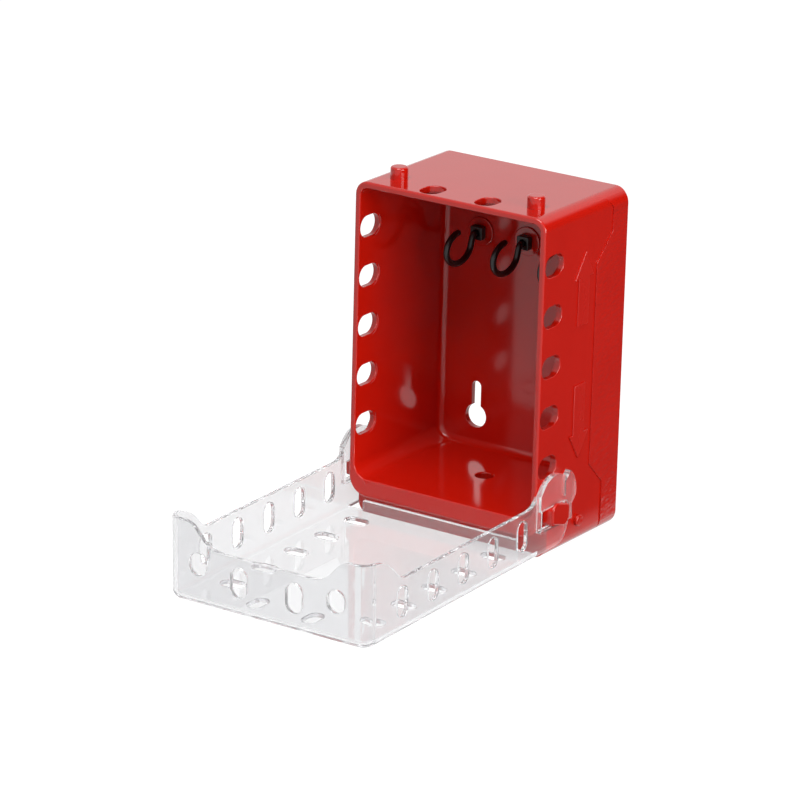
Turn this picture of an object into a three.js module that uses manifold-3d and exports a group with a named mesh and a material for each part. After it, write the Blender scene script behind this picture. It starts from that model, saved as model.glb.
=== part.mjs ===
// Lockout box: an open-fronted key case with padlock slots, and a clear cover hinged at its foot.
// The cover swings up over the front, drops onto two pegs and is held there by padlocks.
// Lengths are millimetres. X runs across the box, Y from its front to the wall behind it, Z up.
// The origin is on the ground, under the middle of the box with its cover lying open.

import * as THREE from 'three';
import { mergeVertices } from 'three/addons/utils/BufferGeometryUtils.js';
import Module from 'manifold-3d';

const wasm = await Module();
wasm.setup();

// Case: one moulding. Y is 0 on its front rim and Z is 0 on its lowest edge.
const caseWidth = 104.4;
const caseDepth = 70.5;
const caseHeight = 165;
const caseWall = 3;
const caseCorner = 6.5;
const caseEdgeRound = 1.2;
const footCorner = 6.5;
const footRound = 2.6;
const footLedge = 0.8;
const cavityCorner = 4;
const cavityFillet = 3.8;
const cavityLowerCorner = 7;

// Front slab: the rim stops short of the ground, so that the cover can hinge under it.
const slabDepth = 8.5;
const slabBottom = 11.8;
const slabCorner = 10;
const floorTop = 20.8;
const drainRadius = 4.3;
const drainFromFront = 36.5;

// Padlock slots: a row in each side wall and a pair in the top.
const slotRows = 5;
const slotFromTop = 23.3;
const slotFromGround = 45.3;
const sideSlotLength = 15.2;
const sideSlotWidth = 10.2;
const sideSlotFromFront = 8.7;
const topSlotLength = 14;
const topSlotWidth = 10.2;
const topSlotFromFront = 8.8;
const topSlotOffset = 15;

// Pegs on the top that the closed cover drops over.
const pegRadius = 4.15;
const pegHeight = 6;
const pegRound = 1.1;
const pegOffset = 37.5;
const pegFromFront = 14.3;

// Keyholes in the back wall for two wall screws.
const keyholeOffset = 26;
const keyholeRadius = 5.75;
const keyholeHeight = 37.9;
const keyholeNeck = 5;
const keyholeTop = 55.3;

// Raised panels at the rear of both side walls. Their front edge steps back near both ends, at
// heights below the case's top and above the ground.
const panelProud = 0.6;
const panelInset = 0.2;
const panelFrontTop = 47.5;
const panelFrontUpper = 57;
const panelFrontMiddle = 44.3;
const panelFrontLower = 55.8;
const panelUpperStep = [30.6, 18];
const panelLowerStep = [25.7, 37];

// Catch studs that the cover's spring fingers snap past.
const studRadius = 2.8;
const studProud = 2;
const studRound = 0.9;
const studFromFront = 36;
const studHeight = 12;

// Pivot: a round stub on each side wall, inside a block that the cover slides along.
const pivotFromFront = 13;
const pivotHeight = 22.6;
const stubRadius = 2.7;
const stubLength = 3.5;
const blockLength = 14.4;
const blockHeight = 8.6;
const blockFrontCorner = 1.6;
const blockRearCorner = 4;
const clearance = 0.3;

// The block's head, outside the ear: too big for the window, and set askew along it.
const headThickness = 1.5;
const headRound = 0.6;
const headCorner = 1.5;

// Corners of the head, along and up from the pivot, as shares of the block's length and height.
const headShares = [
  [-0.48, -0.37], [0.22, -0.75], [0.48, -0.47], [0.48, 0.37], [-0.22, 0.75], [-0.48, 0.47]];

// Key hooks: bent wire, screwed into a boss on the back wall behind a square collar.
const hookOffsets = [-1, 0, 1];
const hookSpacing = 26;
const hookFromTop = 35.3;
const hookWireRadius = 1.5;
const hookBendHalfLength = 10.3;
const hookBendHalfHeight = 7.5;
const hookBendReach = 18;
const hookBendDrop = 3.7;
const hookBendFrom = 88;
const hookBendTo = 345;
const hookNeck = 1.4;
const hookNeckBend = 2.6;
const collarWidth = 7.4;
const collarThickness = 3.5;
const collarCorner = 0.9;
const collarRound = 0.5;
const bossRadius = 7;
const bossProud = 1;
const bossRound = 0.4;
const screwDepth = 2.4;

// Cover: one clear tray. Its own frame has the pivot at 0, Y towards the hinge end and Z up.
const coverWall = 2.2;
const coverSideGap = 0.4;
const coverFrontGap = 3.4;
const coverCorner = 7;
const coverEdgeRound = 4.2;
const coverInnerCorner = 4.8;
const coverInnerRound = 2;
const coverSideRise = 7.5;
const coverEndRise = 9.2;
const coverRestGap = 0.5;
const pegHeadroom = 0.6;
const closedTopGap = 0.4;
const hornRise = 20.8;
const hornLength = 30.4;
const hornStart = 22.2;
const hornEnd = 46.8;
const hornSideShares = [[0.65, 0.02], [0.71, 1.13]];
const hornEndShares = [[0.47, 1.12], [0.67, 0]];

// Lip: the upstand at the hinge end of the tray's floor.
const lipThickness = 2.2;
const lipToRim = 0.4;
const lipToSlab = 0.6;

// Ears: the hinge ends of the tray's sides, each with a window, a spring finger and a slit.
const earRadius = 21.2;
const earStart = 24.5;
const earFoot = 3;
const earSetOut = 0.8;
const earThickness = 3;
const earBorder = 1.1;
const windowCorner = 0.9;
const slitWidth = 1;
const slitBottom = 7.2;

// Points of the ear's outline, along and up from the pivot, as shares of the ear's radius.
const earCrestShares = [-0.104, 0.92];
const earCrestLeadShares = [[-0.546, 0.351], [-0.756, 0.914]];
const earLobeShares = [0.236, 0.82];
const earLobeLeadShares = [0.094, 0.92];
const earSlitShares = [0.231, 0.7];
const fingerNoseShares = [0.335, 0.708];
const fingerTipShares = [0.462, 0.863];
const fingerBackShares = [0.693, 0.236];
const fingerBackLeadShares = [[0.75, 0.49], [0.632, 0.764]];
const earStepShares = [0.538, 0.075];
const earRimLeadShares = [0.6, -0.35];
const earFootLeadShares = [0.42, -0.877];

// Padlock slots of the cover, in line with the case's when it is shut and lowered.
const coverSlotWidth = 7.2;
const coverSlotLength = 14.5;
const coverSlotDrop = 1.5;
const coverSlotSink = 3.3;
const floorSlotLength = 12;
const floorSlotWidth = 7;
const floorSlotOffset = 37.5;
const endSlotWidth = 8.5;
const endSlotLength = 14;
const endSlotSink = 2.5;
const endFloorSlotFromEnd = 16;
const pegHoleWidth = 9.2;
const pegHoleLength = 10.6;

// Places that follow from the sizes above.
const halfWidth = caseWidth / 2;
const cavityHalf = halfWidth - caseWall;
const cavityRear = caseDepth - caseWall;
const floorUnder = floorTop - caseWall;
const slabStraight = halfWidth - slabCorner;
const coverInnerHalf = halfWidth + coverSideGap;
const coverOuterHalf = coverInnerHalf + coverWall;
const coverInnerDrop = pivotFromFront + coverFrontGap;
const coverDrop = coverInnerDrop + coverWall;
const coverInnerReach = caseHeight - pivotHeight + pegHeight + pegHeadroom;
const coverReach = coverInnerReach + coverWall;
const earInner = coverInnerHalf + earSetOut;
const earOuter = earInner + earThickness;
const headInner = earOuter + clearance;
const slideTravel = pegHeight + pegHeadroom - closedTopGap;
const windowHalf = blockHeight / 2 + clearance;
const windowRear = blockLength / 2 + clearance;
const windowFront = windowRear + slideTravel;
const lipRear = pivotFromFront + lipToRim;
const bossFace = cavityRear - bossProud;
const hookHeight = caseHeight - hookFromTop;
const slotPitch = (caseHeight - slotFromTop - slotFromGround) / (slotRows - 1);

// The open cover tilts until its far edge is just off the ground.
const tiltArm = coverReach - coverEdgeRound;
const coverTilt = Math.asin((pivotHeight - coverRestGap) / Math.hypot(tiltArm, coverDrop))
  - Math.atan2(coverDrop, tiltArm);

// Cuts run this far past the faces that they open.
const overrun = 4;

// Facets on a round edge and along a hook, and half the facets on a quarter circle.
const roundFacets = 3;
const hookSteps = 32;
const hookFacets = 1;
const arcFacets = 2;
const curveFacets = 8;
const quarter = Math.PI / 2;

const red = new THREE.MeshStandardMaterial({ color: 0xc41a10, roughness: 0.22, metalness: 0 });
const black = new THREE.MeshStandardMaterial({ color: 0x151517, roughness: 0.5, metalness: 0 });
const clear = new THREE.MeshStandardMaterial({ color: 0xe9ecef, roughness: 0.06, metalness: 0 });
clear.transparent = true;
clear.opacity = 0.35;
for (const material of [red, black, clear]) material.flatShading = true;

const unitX = new THREE.Vector3(1, 0, 0);
const unitY = new THREE.Vector3(0, 1, 0);
const unitZ = new THREE.Vector3(0, 0, 1);
const turns = {
  x: new THREE.Matrix4().makeBasis(unitY, unitZ, unitX),
  y: new THREE.Matrix4().makeBasis(unitX, unitZ, unitY.clone().negate()),
  z: new THREE.Matrix4(),
};

// Makes a closed three.js geometry a solid that can be joined and cut.
function solid(geometry) {
  geometry.deleteAttribute('normal');
  geometry.deleteAttribute('uv');
  const merged = mergeVertices(geometry);
  return new wasm.Manifold(new wasm.Mesh({
    numProp: 3,
    vertProperties: merged.attributes.position.array,
    triVerts: Uint32Array.from(merged.index.array),
  }));
}

// Makes a finished solid a named mesh.
function mesh(name, body, material) {
  const { vertProperties, triVerts } = body.getMesh();
  const geometry = new THREE.BufferGeometry();
  geometry.setAttribute('position', new THREE.BufferAttribute(vertProperties, 3));
  geometry.setIndex(new THREE.BufferAttribute(triVerts, 1));
  geometry.computeVertexNormals();
  const result = new THREE.Mesh(geometry, material);
  result.name = name;
  return result;
}

// Extrudes an outline along an axis, with the edges of both ends rounded.
// An outline has axes Y and Z for a prism along X, X and Z along Y, and X and Y along Z.
function prism(axis, outline, from, to, round = 0, facets = arcFacets) {
  const geometry = new THREE.ExtrudeGeometry(outline, {
    depth: to - from - 2 * round,
    bevelEnabled: round > 0,
    bevelThickness: round,
    bevelSize: round,
    bevelOffset: -round,
    bevelSegments: roundFacets,
    curveSegments: facets,
  });
  geometry.translate(0, 0, round + (axis === 'y' ? -to : from));
  geometry.applyMatrix4(turns[axis]);
  return solid(geometry);
}

function block(left, right, front, rear, bottom, top) {
  const geometry = new THREE.BoxGeometry(right - left, rear - front, top - bottom);
  geometry.translate((left + right) / 2, (front + rear) / 2, (bottom + top) / 2);
  return solid(geometry);
}

// Adds a round stretch to an outline, one quarter circle at a time, clockwise if quarters is less
// than zero.
function addArc(shape, u, v, radius, start, quarters) {
  const step = Math.sign(quarters) * quarter;
  for (let turn = 0; turn < Math.abs(quarters); turn += 1) {
    const from = start + turn * step;
    shape.absarc(u, v, radius, from, from + step, step < 0);
  }
  return shape;
}

function circle(u, v, radius) {
  return addArc(new THREE.Shape(), u, v, radius, 0, 4);
}

// A slot outline with round ends, lying along its longer side.
function obround(u, v, acrossU, acrossV) {
  const radius = Math.min(acrossU, acrossV) / 2;
  const halfU = acrossU / 2 - radius;
  const halfV = acrossV / 2 - radius;
  const start = halfU > halfV ? -quarter : 0;
  const shape = addArc(new THREE.Shape(), u + halfU, v + halfV, radius, start, 2);
  return addArc(shape, u - halfU, v - halfV, radius, start + 2 * quarter, 2);
}

function roundedRect(left, right, bottom, top, lowerRadius, upperRadius) {
  return new THREE.Shape()
    .absarc(right - lowerRadius, bottom + lowerRadius, lowerRadius, -quarter, 0)
    .absarc(right - upperRadius, top - upperRadius, upperRadius, 0, quarter)
    .absarc(left + upperRadius, top - upperRadius, upperRadius, quarter, 2 * quarter)
    .absarc(left + lowerRadius, bottom + lowerRadius, lowerRadius, 2 * quarter, 3 * quarter);
}

function polygon(points) {
  return new THREE.Shape(points.map(([u, v]) => new THREE.Vector2(u, v)));
}

// An outline with straight edges, with each corner rounded off from this far before it.
function softPolygon(points, setback) {
  const corners = points.map(([u, v]) => new THREE.Vector2(u, v));
  const towards = (corner, next) => next.clone().sub(corner).setLength(setback).add(corner);
  const shape = new THREE.Shape();
  corners.forEach((corner, index) => {
    const arrive = towards(corner, corners.at(index - 1));
    const leave = towards(corner, corners[(index + 1) % corners.length]);
    shape[index > 0 ? 'lineTo' : 'moveTo'](arrive.x, arrive.y);
    shape.quadraticCurveTo(corner.x, corner.y, leave.x, leave.y);
  });
  return shape;
}

// A prism along X that stands on one side wall, side being -1 or 1.
function sidePrism(side, outline, inner, outer, round = 0, facets = arcFacets) {
  const [from, to] = side > 0 ? [inner, outer] : [-outer, -inner];
  return prism('x', outline, from, to, round, facets);
}

const sides = [-1, 1];
const slotHeights = Array.from({ length: slotRows }, (_, row) =>
  slotFromGround + row * slotPitch);

function caseOuter() {
  const shell = roundedRect(-halfWidth, halfWidth, 0, caseHeight, footCorner, caseCorner);
  return prism('y', shell, 0, caseDepth, caseEdgeRound);
}

// The panels are the case's own outline, a little wider, kept only behind their stepped edge.
function casePanels() {
  const half = halfWidth + panelProud;
  const outline = roundedRect(
    -half, half, panelInset, caseHeight - panelInset,
    footCorner + panelProud, caseCorner + panelProud);
  const edge = polygon([
    [panelFrontLower, -overrun],
    [caseDepth + overrun, -overrun],
    [caseDepth + overrun, caseHeight + overrun],
    [panelFrontTop, caseHeight + overrun],
    [panelFrontUpper, caseHeight - caseCorner],
    [panelFrontUpper, caseHeight - panelUpperStep[1]],
    [panelFrontMiddle, caseHeight - panelUpperStep[0]],
    [panelFrontMiddle, panelLowerStep[1]],
    [panelFrontLower, panelLowerStep[0]],
  ]);
  return prism('y', outline, panelFrontMiddle - overrun, caseDepth - panelInset, caseEdgeRound)
    .intersect(prism('x', edge, -half - overrun, half + overrun));
}

// The space under the front slab, with the slab's round lower corners.
function slabRecess() {
  const outline = polygon([
    [-halfWidth - overrun, -overrun],
    [halfWidth + overrun, -overrun],
    [halfWidth + overrun, slabBottom + slabCorner],
    [halfWidth, slabBottom + slabCorner],
  ]);
  outline.absarc(slabStraight, slabBottom + slabCorner, slabCorner, 0, -quarter, true);
  outline.absarc(-slabStraight, slabBottom + slabCorner, slabCorner, -quarter, -2 * quarter, true);
  outline.lineTo(-halfWidth - overrun, slabBottom + slabCorner);
  return prism('y', outline, -overrun, slabDepth);
}

// What the rounding of the lower rear edge takes off.
function footRounding() {
  const outline = polygon([
    [caseDepth - footRound, -overrun],
    [caseDepth + overrun, -overrun],
    [caseDepth + overrun, footRound],
    [caseDepth, footRound],
  ]);
  outline.absarc(caseDepth - footRound, footRound, footRound, 0, -quarter, true);
  return prism('x', outline, -halfWidth - overrun, halfWidth + overrun);
}

function caseCavity() {
  const outline = roundedRect(
    -cavityHalf, cavityHalf, floorTop, caseHeight - caseWall, cavityLowerCorner, cavityCorner);
  return prism('y', outline, -overrun - cavityFillet, cavityRear, cavityFillet);
}

// The moulding is hollow from below, behind the slab and under the floor. Its side walls follow
// the rounded foot and end in a small ledge along the ground.
function undersideHollow() {
  const radius = footCorner - caseWall;
  const middle = halfWidth - footCorner;
  const mouth = middle - footLedge;
  const outline = new THREE.Shape();
  outline.moveTo(mouth, -overrun);
  outline.lineTo(mouth, caseWall);
  outline.absarc(middle, footCorner, radius, -quarter, 0);
  outline.lineTo(cavityHalf, floorUnder);
  outline.lineTo(-cavityHalf, floorUnder);
  outline.absarc(-middle, footCorner, radius, 2 * quarter, 3 * quarter);
  outline.lineTo(-mouth, caseWall);
  outline.lineTo(-mouth, -overrun);
  return prism('y', outline, slabDepth + caseWall, cavityRear);
}

function keyhole(offset) {
  const neck = keyholeNeck / 2;
  const meet = Math.asin(neck / keyholeRadius);
  const outline = new THREE.Shape()
    .absarc(offset, keyholeTop - neck, neck, 0, 2 * quarter)
    .absarc(offset, keyholeHeight, keyholeRadius, quarter + meet, 5 * quarter - meet);
  return prism('y', outline, cavityRear - overrun, caseDepth + overrun, 0, curveFacets);
}

function caseOpenings() {
  const cuts = slotHeights.map((height) => prism(
    'x', obround(sideSlotFromFront, height, sideSlotLength, sideSlotWidth),
    -halfWidth - overrun, halfWidth + overrun));
  for (const side of sides) {
    const slot = obround(side * topSlotOffset, topSlotFromFront, topSlotWidth, topSlotLength);
    cuts.push(prism('z', slot, caseHeight - caseWall - overrun, caseHeight + overrun));
    cuts.push(keyhole(side * keyholeOffset));
  }
  cuts.push(prism('z', circle(0, drainFromFront, drainRadius), floorUnder - overrun, floorTop + overrun));
  return cuts;
}

function caseBosses() {
  const bosses = [];
  for (const side of sides) {
    const peg = circle(side * pegOffset, pegFromFront, pegRadius);
    bosses.push(prism('z', peg, caseHeight - caseWall / 2, caseHeight + pegHeight, pegRound));
    const stud = circle(studFromFront, studHeight, studRadius);
    bosses.push(sidePrism(side, stud, halfWidth - caseWall / 2, halfWidth + studProud, studRound));
    const stub = circle(pivotFromFront, pivotHeight, stubRadius);
    bosses.push(sidePrism(side, stub, halfWidth - caseWall / 2, halfWidth + stubLength));
  }
  for (const place of hookOffsets) {
    const boss = circle(place * hookSpacing, hookHeight, bossRadius);
    bosses.push(prism('y', boss, bossFace, cavityRear + caseWall / 2, bossRound));
  }
  return bosses;
}

function hookScrewHoles() {
  return hookOffsets.map((place) => prism(
    'y', circle(place * hookSpacing, hookHeight, hookWireRadius + clearance),
    bossFace - overrun, bossFace + screwDepth + clearance));
}

function caseBody() {
  let body = caseOuter().add(casePanels());
  for (const cut of [slabRecess(), footRounding(), caseCavity(), undersideHollow()]) {
    body = body.subtract(cut);
  }
  for (const cut of caseOpenings()) body = body.subtract(cut);
  for (const boss of caseBosses()) body = body.add(boss);
  for (const hole of hookScrewHoles()) body = body.subtract(hole);
  return body;
}

// The hook's bend is most of an ellipse in the YZ plane, from its open tip round to its neck.
class HookBend extends THREE.Curve {
  getPoint(share, target = new THREE.Vector3()) {
    const degrees = hookBendFrom + share * (hookBendTo - hookBendFrom);
    const angle = THREE.MathUtils.degToRad(degrees);
    return target.set(
      0,
      bossFace - hookBendReach + hookBendHalfLength * Math.cos(angle),
      hookHeight - hookBendDrop + hookBendHalfHeight * Math.sin(angle));
  }
}

// The hook's wire: its bend, a neck that turns up to the screw line, and the screw end.
function keyHook() {
  const bend = new HookBend();
  const bendEnd = bend.getPoint(1);
  const leave = bend.getTangent(1).multiplyScalar(hookNeckBend);
  const neckTop = bossFace - clearance - collarThickness - hookNeck;
  const screwStart = new THREE.Vector3(0, neckTop, hookHeight);
  const screwEnd = new THREE.Vector3(0, bossFace + screwDepth, hookHeight);
  const arrive = new THREE.Vector3(0, neckTop - hookNeckBend / 2, hookHeight);
  const wire = new THREE.CurvePath();
  wire.add(bend);
  wire.add(new THREE.CubicBezierCurve3(bendEnd, bendEnd.clone().add(leave), arrive, screwStart));
  wire.add(new THREE.LineCurve3(screwStart, screwEnd));
  return solid(new THREE.ExtrudeGeometry(circle(0, 0, hookWireRadius), {
    steps: hookSteps,
    extrudePath: wire,
    curveSegments: hookFacets,
  }));
}

function hookCollar() {
  const half = collarWidth / 2;
  const rear = bossFace - clearance;
  const outline = roundedRect(
    -half, half, hookHeight - half, hookHeight + half, collarCorner, collarCorner);
  const bore = circle(0, hookHeight, hookWireRadius + clearance);
  return prism('y', outline, rear - collarThickness, rear, collarRound)
    .subtract(prism('y', bore, rear - collarThickness - overrun, rear + overrun));
}

// The block turns on the stub with the cover. In the window it is square in front and round
// behind, and its head keeps it from falling inwards.
function hingeBlock(side) {
  const half = blockHeight / 2;
  const front = blockFrontCorner - blockLength / 2;
  const rear = blockLength / 2 - blockRearCorner;
  const outline = new THREE.Shape()
    .absarc(rear, blockRearCorner - half, blockRearCorner, -quarter, 0)
    .absarc(rear, half - blockRearCorner, blockRearCorner, 0, quarter)
    .absarc(front, half - blockFrontCorner, blockFrontCorner, quarter, 2 * quarter)
    .absarc(front, blockFrontCorner - half, blockFrontCorner, 2 * quarter, 3 * quarter);
  const head = softPolygon(
    headShares.map(([along, up]) => [along * blockLength, up * blockHeight]), headCorner);
  const bore = circle(0, 0, stubRadius + clearance);
  return sidePrism(side, outline, halfWidth + clearance, headInner + headThickness / 2)
    .add(sidePrism(side, head, headInner, headInner + headThickness, headRound))
    .subtract(sidePrism(side, bore, halfWidth - overrun, halfWidth + stubLength + clearance));
}

const onEar = ([along, up]) => [along * earRadius, up * earRadius];

// The edge of a tray side: level along its length, up into a horn at the far corner, and at the
// hinge end over the ear's crest, down into the slit, over the finger and round the rim.
function trayProfile() {
  const low = -coverDrop - overrun;
  const beyond = -coverReach - overrun;
  const slitFront = onEar(earSlitShares);
  const slitRear = slitFront[0] + slitWidth;
  const nose = onEar(fingerNoseShares);
  const rise = hornRise - coverSideRise;
  const [hornLow, hornHigh] = hornSideShares.map(([along, up]) =>
    [along * hornLength - coverReach, coverSideRise + up * rise]);
  const profile = new THREE.Shape();
  profile.moveTo(beyond, low);
  profile.lineTo(-earFoot, low);
  profile.lineTo(-earFoot, -coverDrop);
  profile.bezierCurveTo(
    ...onEar(earFootLeadShares), ...onEar(earRimLeadShares), ...onEar(earStepShares));
  profile.lineTo(...onEar(fingerBackShares));
  profile.bezierCurveTo(...fingerBackLeadShares.flatMap(onEar), ...onEar(fingerTipShares));
  profile.lineTo(...nose);
  profile.lineTo(slitRear, nose[1] - slitWidth);
  profile.lineTo(slitRear, slitBottom);
  profile.absarc(slitRear - slitWidth / 2, slitBottom, slitWidth / 2, 0, -2 * quarter, true);
  profile.lineTo(...slitFront);
  profile.lineTo(...onEar(earLobeShares));
  profile.quadraticCurveTo(...onEar(earLobeLeadShares), ...onEar(earCrestShares));
  const [liftLead, crestLead] = earCrestLeadShares.map(onEar);
  profile.bezierCurveTo(...crestLead, ...liftLead, -earStart, coverSideRise);
  profile.lineTo(hornLength - coverReach, coverSideRise);
  profile.bezierCurveTo(...hornLow, ...hornHigh, -coverReach, hornRise);
  profile.lineTo(beyond, hornRise);
  return profile;
}

// What lies above the edge of the end wall, between the two horns.
function aboveEndWall() {
  const rise = hornRise - coverEndRise;
  const [[highAlong, highUp], [lowAlong, lowUp]] = hornEndShares;
  const run = hornEnd - hornStart;
  const high = [hornEnd - highAlong * run, coverEndRise + highUp * rise];
  const low = [hornStart + lowAlong * run, coverEndRise + lowUp * rise];
  const outline = new THREE.Shape();
  outline.moveTo(hornEnd, hornRise + overrun);
  outline.lineTo(-hornEnd, hornRise + overrun);
  outline.lineTo(-hornEnd, hornRise);
  outline.bezierCurveTo(-high[0], high[1], -low[0], low[1], -hornStart, coverEndRise);
  outline.lineTo(hornStart, coverEndRise);
  outline.bezierCurveTo(...low, ...high, hornEnd, hornRise);
  return prism(
    'y', outline, -coverReach - overrun, -coverInnerReach + coverInnerCorner, 0, curveFacets);
}

// A tub with round lower edges and corners, taller than the tray and longer at its hinge end.
function tub(half, reach, drop, corner, round) {
  const outline = roundedRect(-half, half, -reach, 2 * earRadius + corner, corner, corner);
  return prism('z', outline, -drop, hornRise + 2 * overrun + round, round);
}

function traySlots() {
  const cuts = [];
  for (const height of slotHeights) {
    const along = coverSlotDrop + pivotHeight - height - slideTravel;
    const wallSlot = obround(along, -coverSlotSink, coverSlotWidth, coverSlotLength);
    cuts.push(prism('x', wallSlot, -coverOuterHalf - overrun, coverOuterHalf + overrun));
    for (const side of sides) {
      const floorSlot = obround(side * floorSlotOffset, along, floorSlotLength, floorSlotWidth);
      cuts.push(prism('z', floorSlot, -coverDrop - overrun, -coverInnerDrop + overrun));
    }
  }
  return cuts;
}

function trayEndSlots() {
  const cuts = [];
  const front = -coverReach - overrun;
  const rear = -coverInnerReach + overrun;
  const floorSlotAt = endFloorSlotFromEnd - coverReach;
  for (const side of sides) {
    const endSlot = obround(side * topSlotOffset, -endSlotSink, endSlotWidth, endSlotLength);
    const pegHole = obround(
      side * pegOffset, pegFromFront - pivotFromFront, pegHoleWidth, pegHoleLength);
    const floorSlot = obround(
      side * topSlotOffset, floorSlotAt, floorSlotWidth, floorSlotLength);
    cuts.push(prism('y', endSlot, front, rear));
    cuts.push(prism('y', pegHole, front, rear));
    cuts.push(prism('z', floorSlot, -coverDrop - overrun, -coverInnerDrop + overrun));
  }
  return cuts;
}

// Where the ear is: the part of a tray side round its window and above, between two planes.
function earRegion(from, to) {
  return block(
    from, to, -windowFront - earBorder, earRadius + overrun,
    -windowHalf - earBorder, earRadius + overrun);
}

// The ear stands further out than the rest of the tray's side, and is thicker.
function earPlate(side, profile) {
  const inner = (earInner + coverOuterHalf) / 2;
  return sidePrism(side, profile, inner, earOuter, 0, curveFacets)
    .intersect(earRegion(-earOuter - overrun, earOuter + overrun));
}

function trayWindows() {
  const outline = roundedRect(
    -windowFront, windowRear, -windowHalf, windowHalf, windowCorner, windowCorner);
  return prism('x', outline, -earOuter - overrun, earOuter + overrun);
}

function trayLip() {
  const top = slabBottom - lipToSlab - pivotHeight;
  return block(
    -slabStraight, slabStraight, -lipRear - lipThickness, -lipRear,
    -coverInnerDrop - coverWall / 2, top);
}

function coverBody() {
  const profile = trayProfile();
  const hingeEnd = block(
    -coverInnerHalf, coverInnerHalf, -lipRear, 2 * earRadius, -coverDrop - overrun, 0);
  const outer = tub(coverOuterHalf, coverReach, coverDrop, coverCorner, coverEdgeRound);
  const inner = tub(
    coverInnerHalf, coverInnerReach, coverInnerDrop, coverInnerCorner, coverInnerRound);
  const between = coverOuterHalf + overrun;
  let body = outer.subtract(inner)
    .intersect(prism('x', profile, -between, between, 0, curveFacets))
    .subtract(aboveEndWall())
    .subtract(hingeEnd)
    .add(trayLip());
  body = body.subtract(earRegion(-earInner, earInner));
  for (const side of sides) body = body.add(earPlate(side, profile));
  for (const cut of [...traySlots(), ...trayEndSlots(), trayWindows()]) body = body.subtract(cut);
  return body;
}

// The pieces in place: what turns with the cover hangs from the pivot, tilted as it lies open.
const box = new THREE.Group();
box.add(mesh('case', caseBody(), red));
for (const [index, place] of hookOffsets.entries()) {
  const hook = mesh(`key_hook_${index + 1}`, keyHook(), black);
  const collar = mesh(`hook_collar_${index + 1}`, hookCollar(), black);
  hook.position.x = place * hookSpacing;
  collar.position.x = place * hookSpacing;
  box.add(hook, collar);
}

const hinge = new THREE.Group();
hinge.position.set(0, pivotFromFront, pivotHeight);
hinge.rotation.x = coverTilt;
hinge.add(mesh('hinge_block_left', hingeBlock(-1), red));
hinge.add(mesh('hinge_block_right', hingeBlock(1), red));
hinge.add(mesh('cover', coverBody(), clear));
box.add(hinge);

const outline = new THREE.Box3().setFromObject(box, true);
box.position.set(0, -(outline.min.y + outline.max.y) / 2, -outline.min.z);

export default box;
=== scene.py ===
# %% [markdown]
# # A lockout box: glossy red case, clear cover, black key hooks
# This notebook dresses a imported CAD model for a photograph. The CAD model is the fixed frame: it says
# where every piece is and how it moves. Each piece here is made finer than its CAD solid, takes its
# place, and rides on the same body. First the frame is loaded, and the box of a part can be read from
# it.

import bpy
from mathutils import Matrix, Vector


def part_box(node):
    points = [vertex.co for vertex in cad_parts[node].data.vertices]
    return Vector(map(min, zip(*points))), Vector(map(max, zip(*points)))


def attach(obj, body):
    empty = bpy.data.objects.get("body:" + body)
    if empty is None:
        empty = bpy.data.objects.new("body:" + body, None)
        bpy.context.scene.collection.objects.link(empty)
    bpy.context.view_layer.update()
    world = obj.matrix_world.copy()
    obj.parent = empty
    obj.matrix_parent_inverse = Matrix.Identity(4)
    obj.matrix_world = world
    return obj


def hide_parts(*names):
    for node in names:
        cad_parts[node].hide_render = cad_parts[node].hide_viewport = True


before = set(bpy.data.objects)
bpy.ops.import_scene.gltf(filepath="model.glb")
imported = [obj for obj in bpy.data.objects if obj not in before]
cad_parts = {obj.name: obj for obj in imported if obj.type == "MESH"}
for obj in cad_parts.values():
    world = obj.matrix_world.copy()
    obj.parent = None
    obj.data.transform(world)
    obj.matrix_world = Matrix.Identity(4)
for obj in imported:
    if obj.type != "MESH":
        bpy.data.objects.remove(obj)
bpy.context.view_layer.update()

# %% Tools for the whole notebook
from math import asin, atan2, cos, degrees, hypot, pi, radians, sin

import bmesh
import bpy
from mathutils import Matrix, Vector

MM = 0.001
QUARTER = pi / 2
scene = bpy.context.scene

# %% [markdown]
# ## The camera
# A product photograph is taken from far away with a long lens, so lines that run together in depth
# stay nearly parallel. The camera is placed by its azimuth, its height angle and its distance from
# a point in the middle of the case, then moved a little sideways and up to frame the box as it
# lies. A constraint could aim it at that point, but not with this slight roll. So it is built from
# three axes of its own: right, up and forward.

# %% Camera
AZIMUTH = radians(33.9285)
ELEVATION = radians(18.6249)
ROLL = radians(1.5181)
DISTANCE = 2216.07
ASIDE = 40.22
ABOVE = 21.44
FOCAL_PIXELS = 4764.97
PICTURE_PIXELS = 800
SENSOR_WIDTH = 36
AIM = Vector((0, 69.15, 82.5))

forward = Vector((-sin(AZIMUTH) * cos(ELEVATION), cos(AZIMUTH) * cos(ELEVATION), -sin(ELEVATION)))
level_right = forward.cross(Vector((0, 0, 1))).normalized()
level_up = level_right.cross(forward)
right = cos(ROLL) * level_right + sin(ROLL) * level_up
up = -sin(ROLL) * level_right + cos(ROLL) * level_up
place = (AIM - ASIDE * right - ABOVE * up - DISTANCE * forward) * MM

camera = bpy.data.objects.new("camera", bpy.data.cameras.new("camera"))
camera.data.sensor_width = SENSOR_WIDTH
camera.data.lens = FOCAL_PIXELS * SENSOR_WIDTH / PICTURE_PIXELS
camera.matrix_world = Matrix.Translation(place) @ Matrix((right, up, -forward)).transposed().to_4x4()
scene.collection.objects.link(camera)
scene.camera = camera
print(f"camera at {tuple(round(v, 3) for v in place)}, lens {camera.data.lens:.1f} mm")

# %% [markdown]
# ## Helpers for nodes
# Light, background and plastic are all set by trees of small nodes. By hand each node is a few
# clicks; in a script it is the same few lines again and again. So there are helpers for a node, a
# link, a calculation, a change of range and a mix. They are given an output as its node and its
# name.

# %% Node helpers
WHITE = (1, 1, 1, 1)


def link(tree, source, output, target, socket):
    tree.links.new(source.outputs[output], target.inputs[socket])


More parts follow.
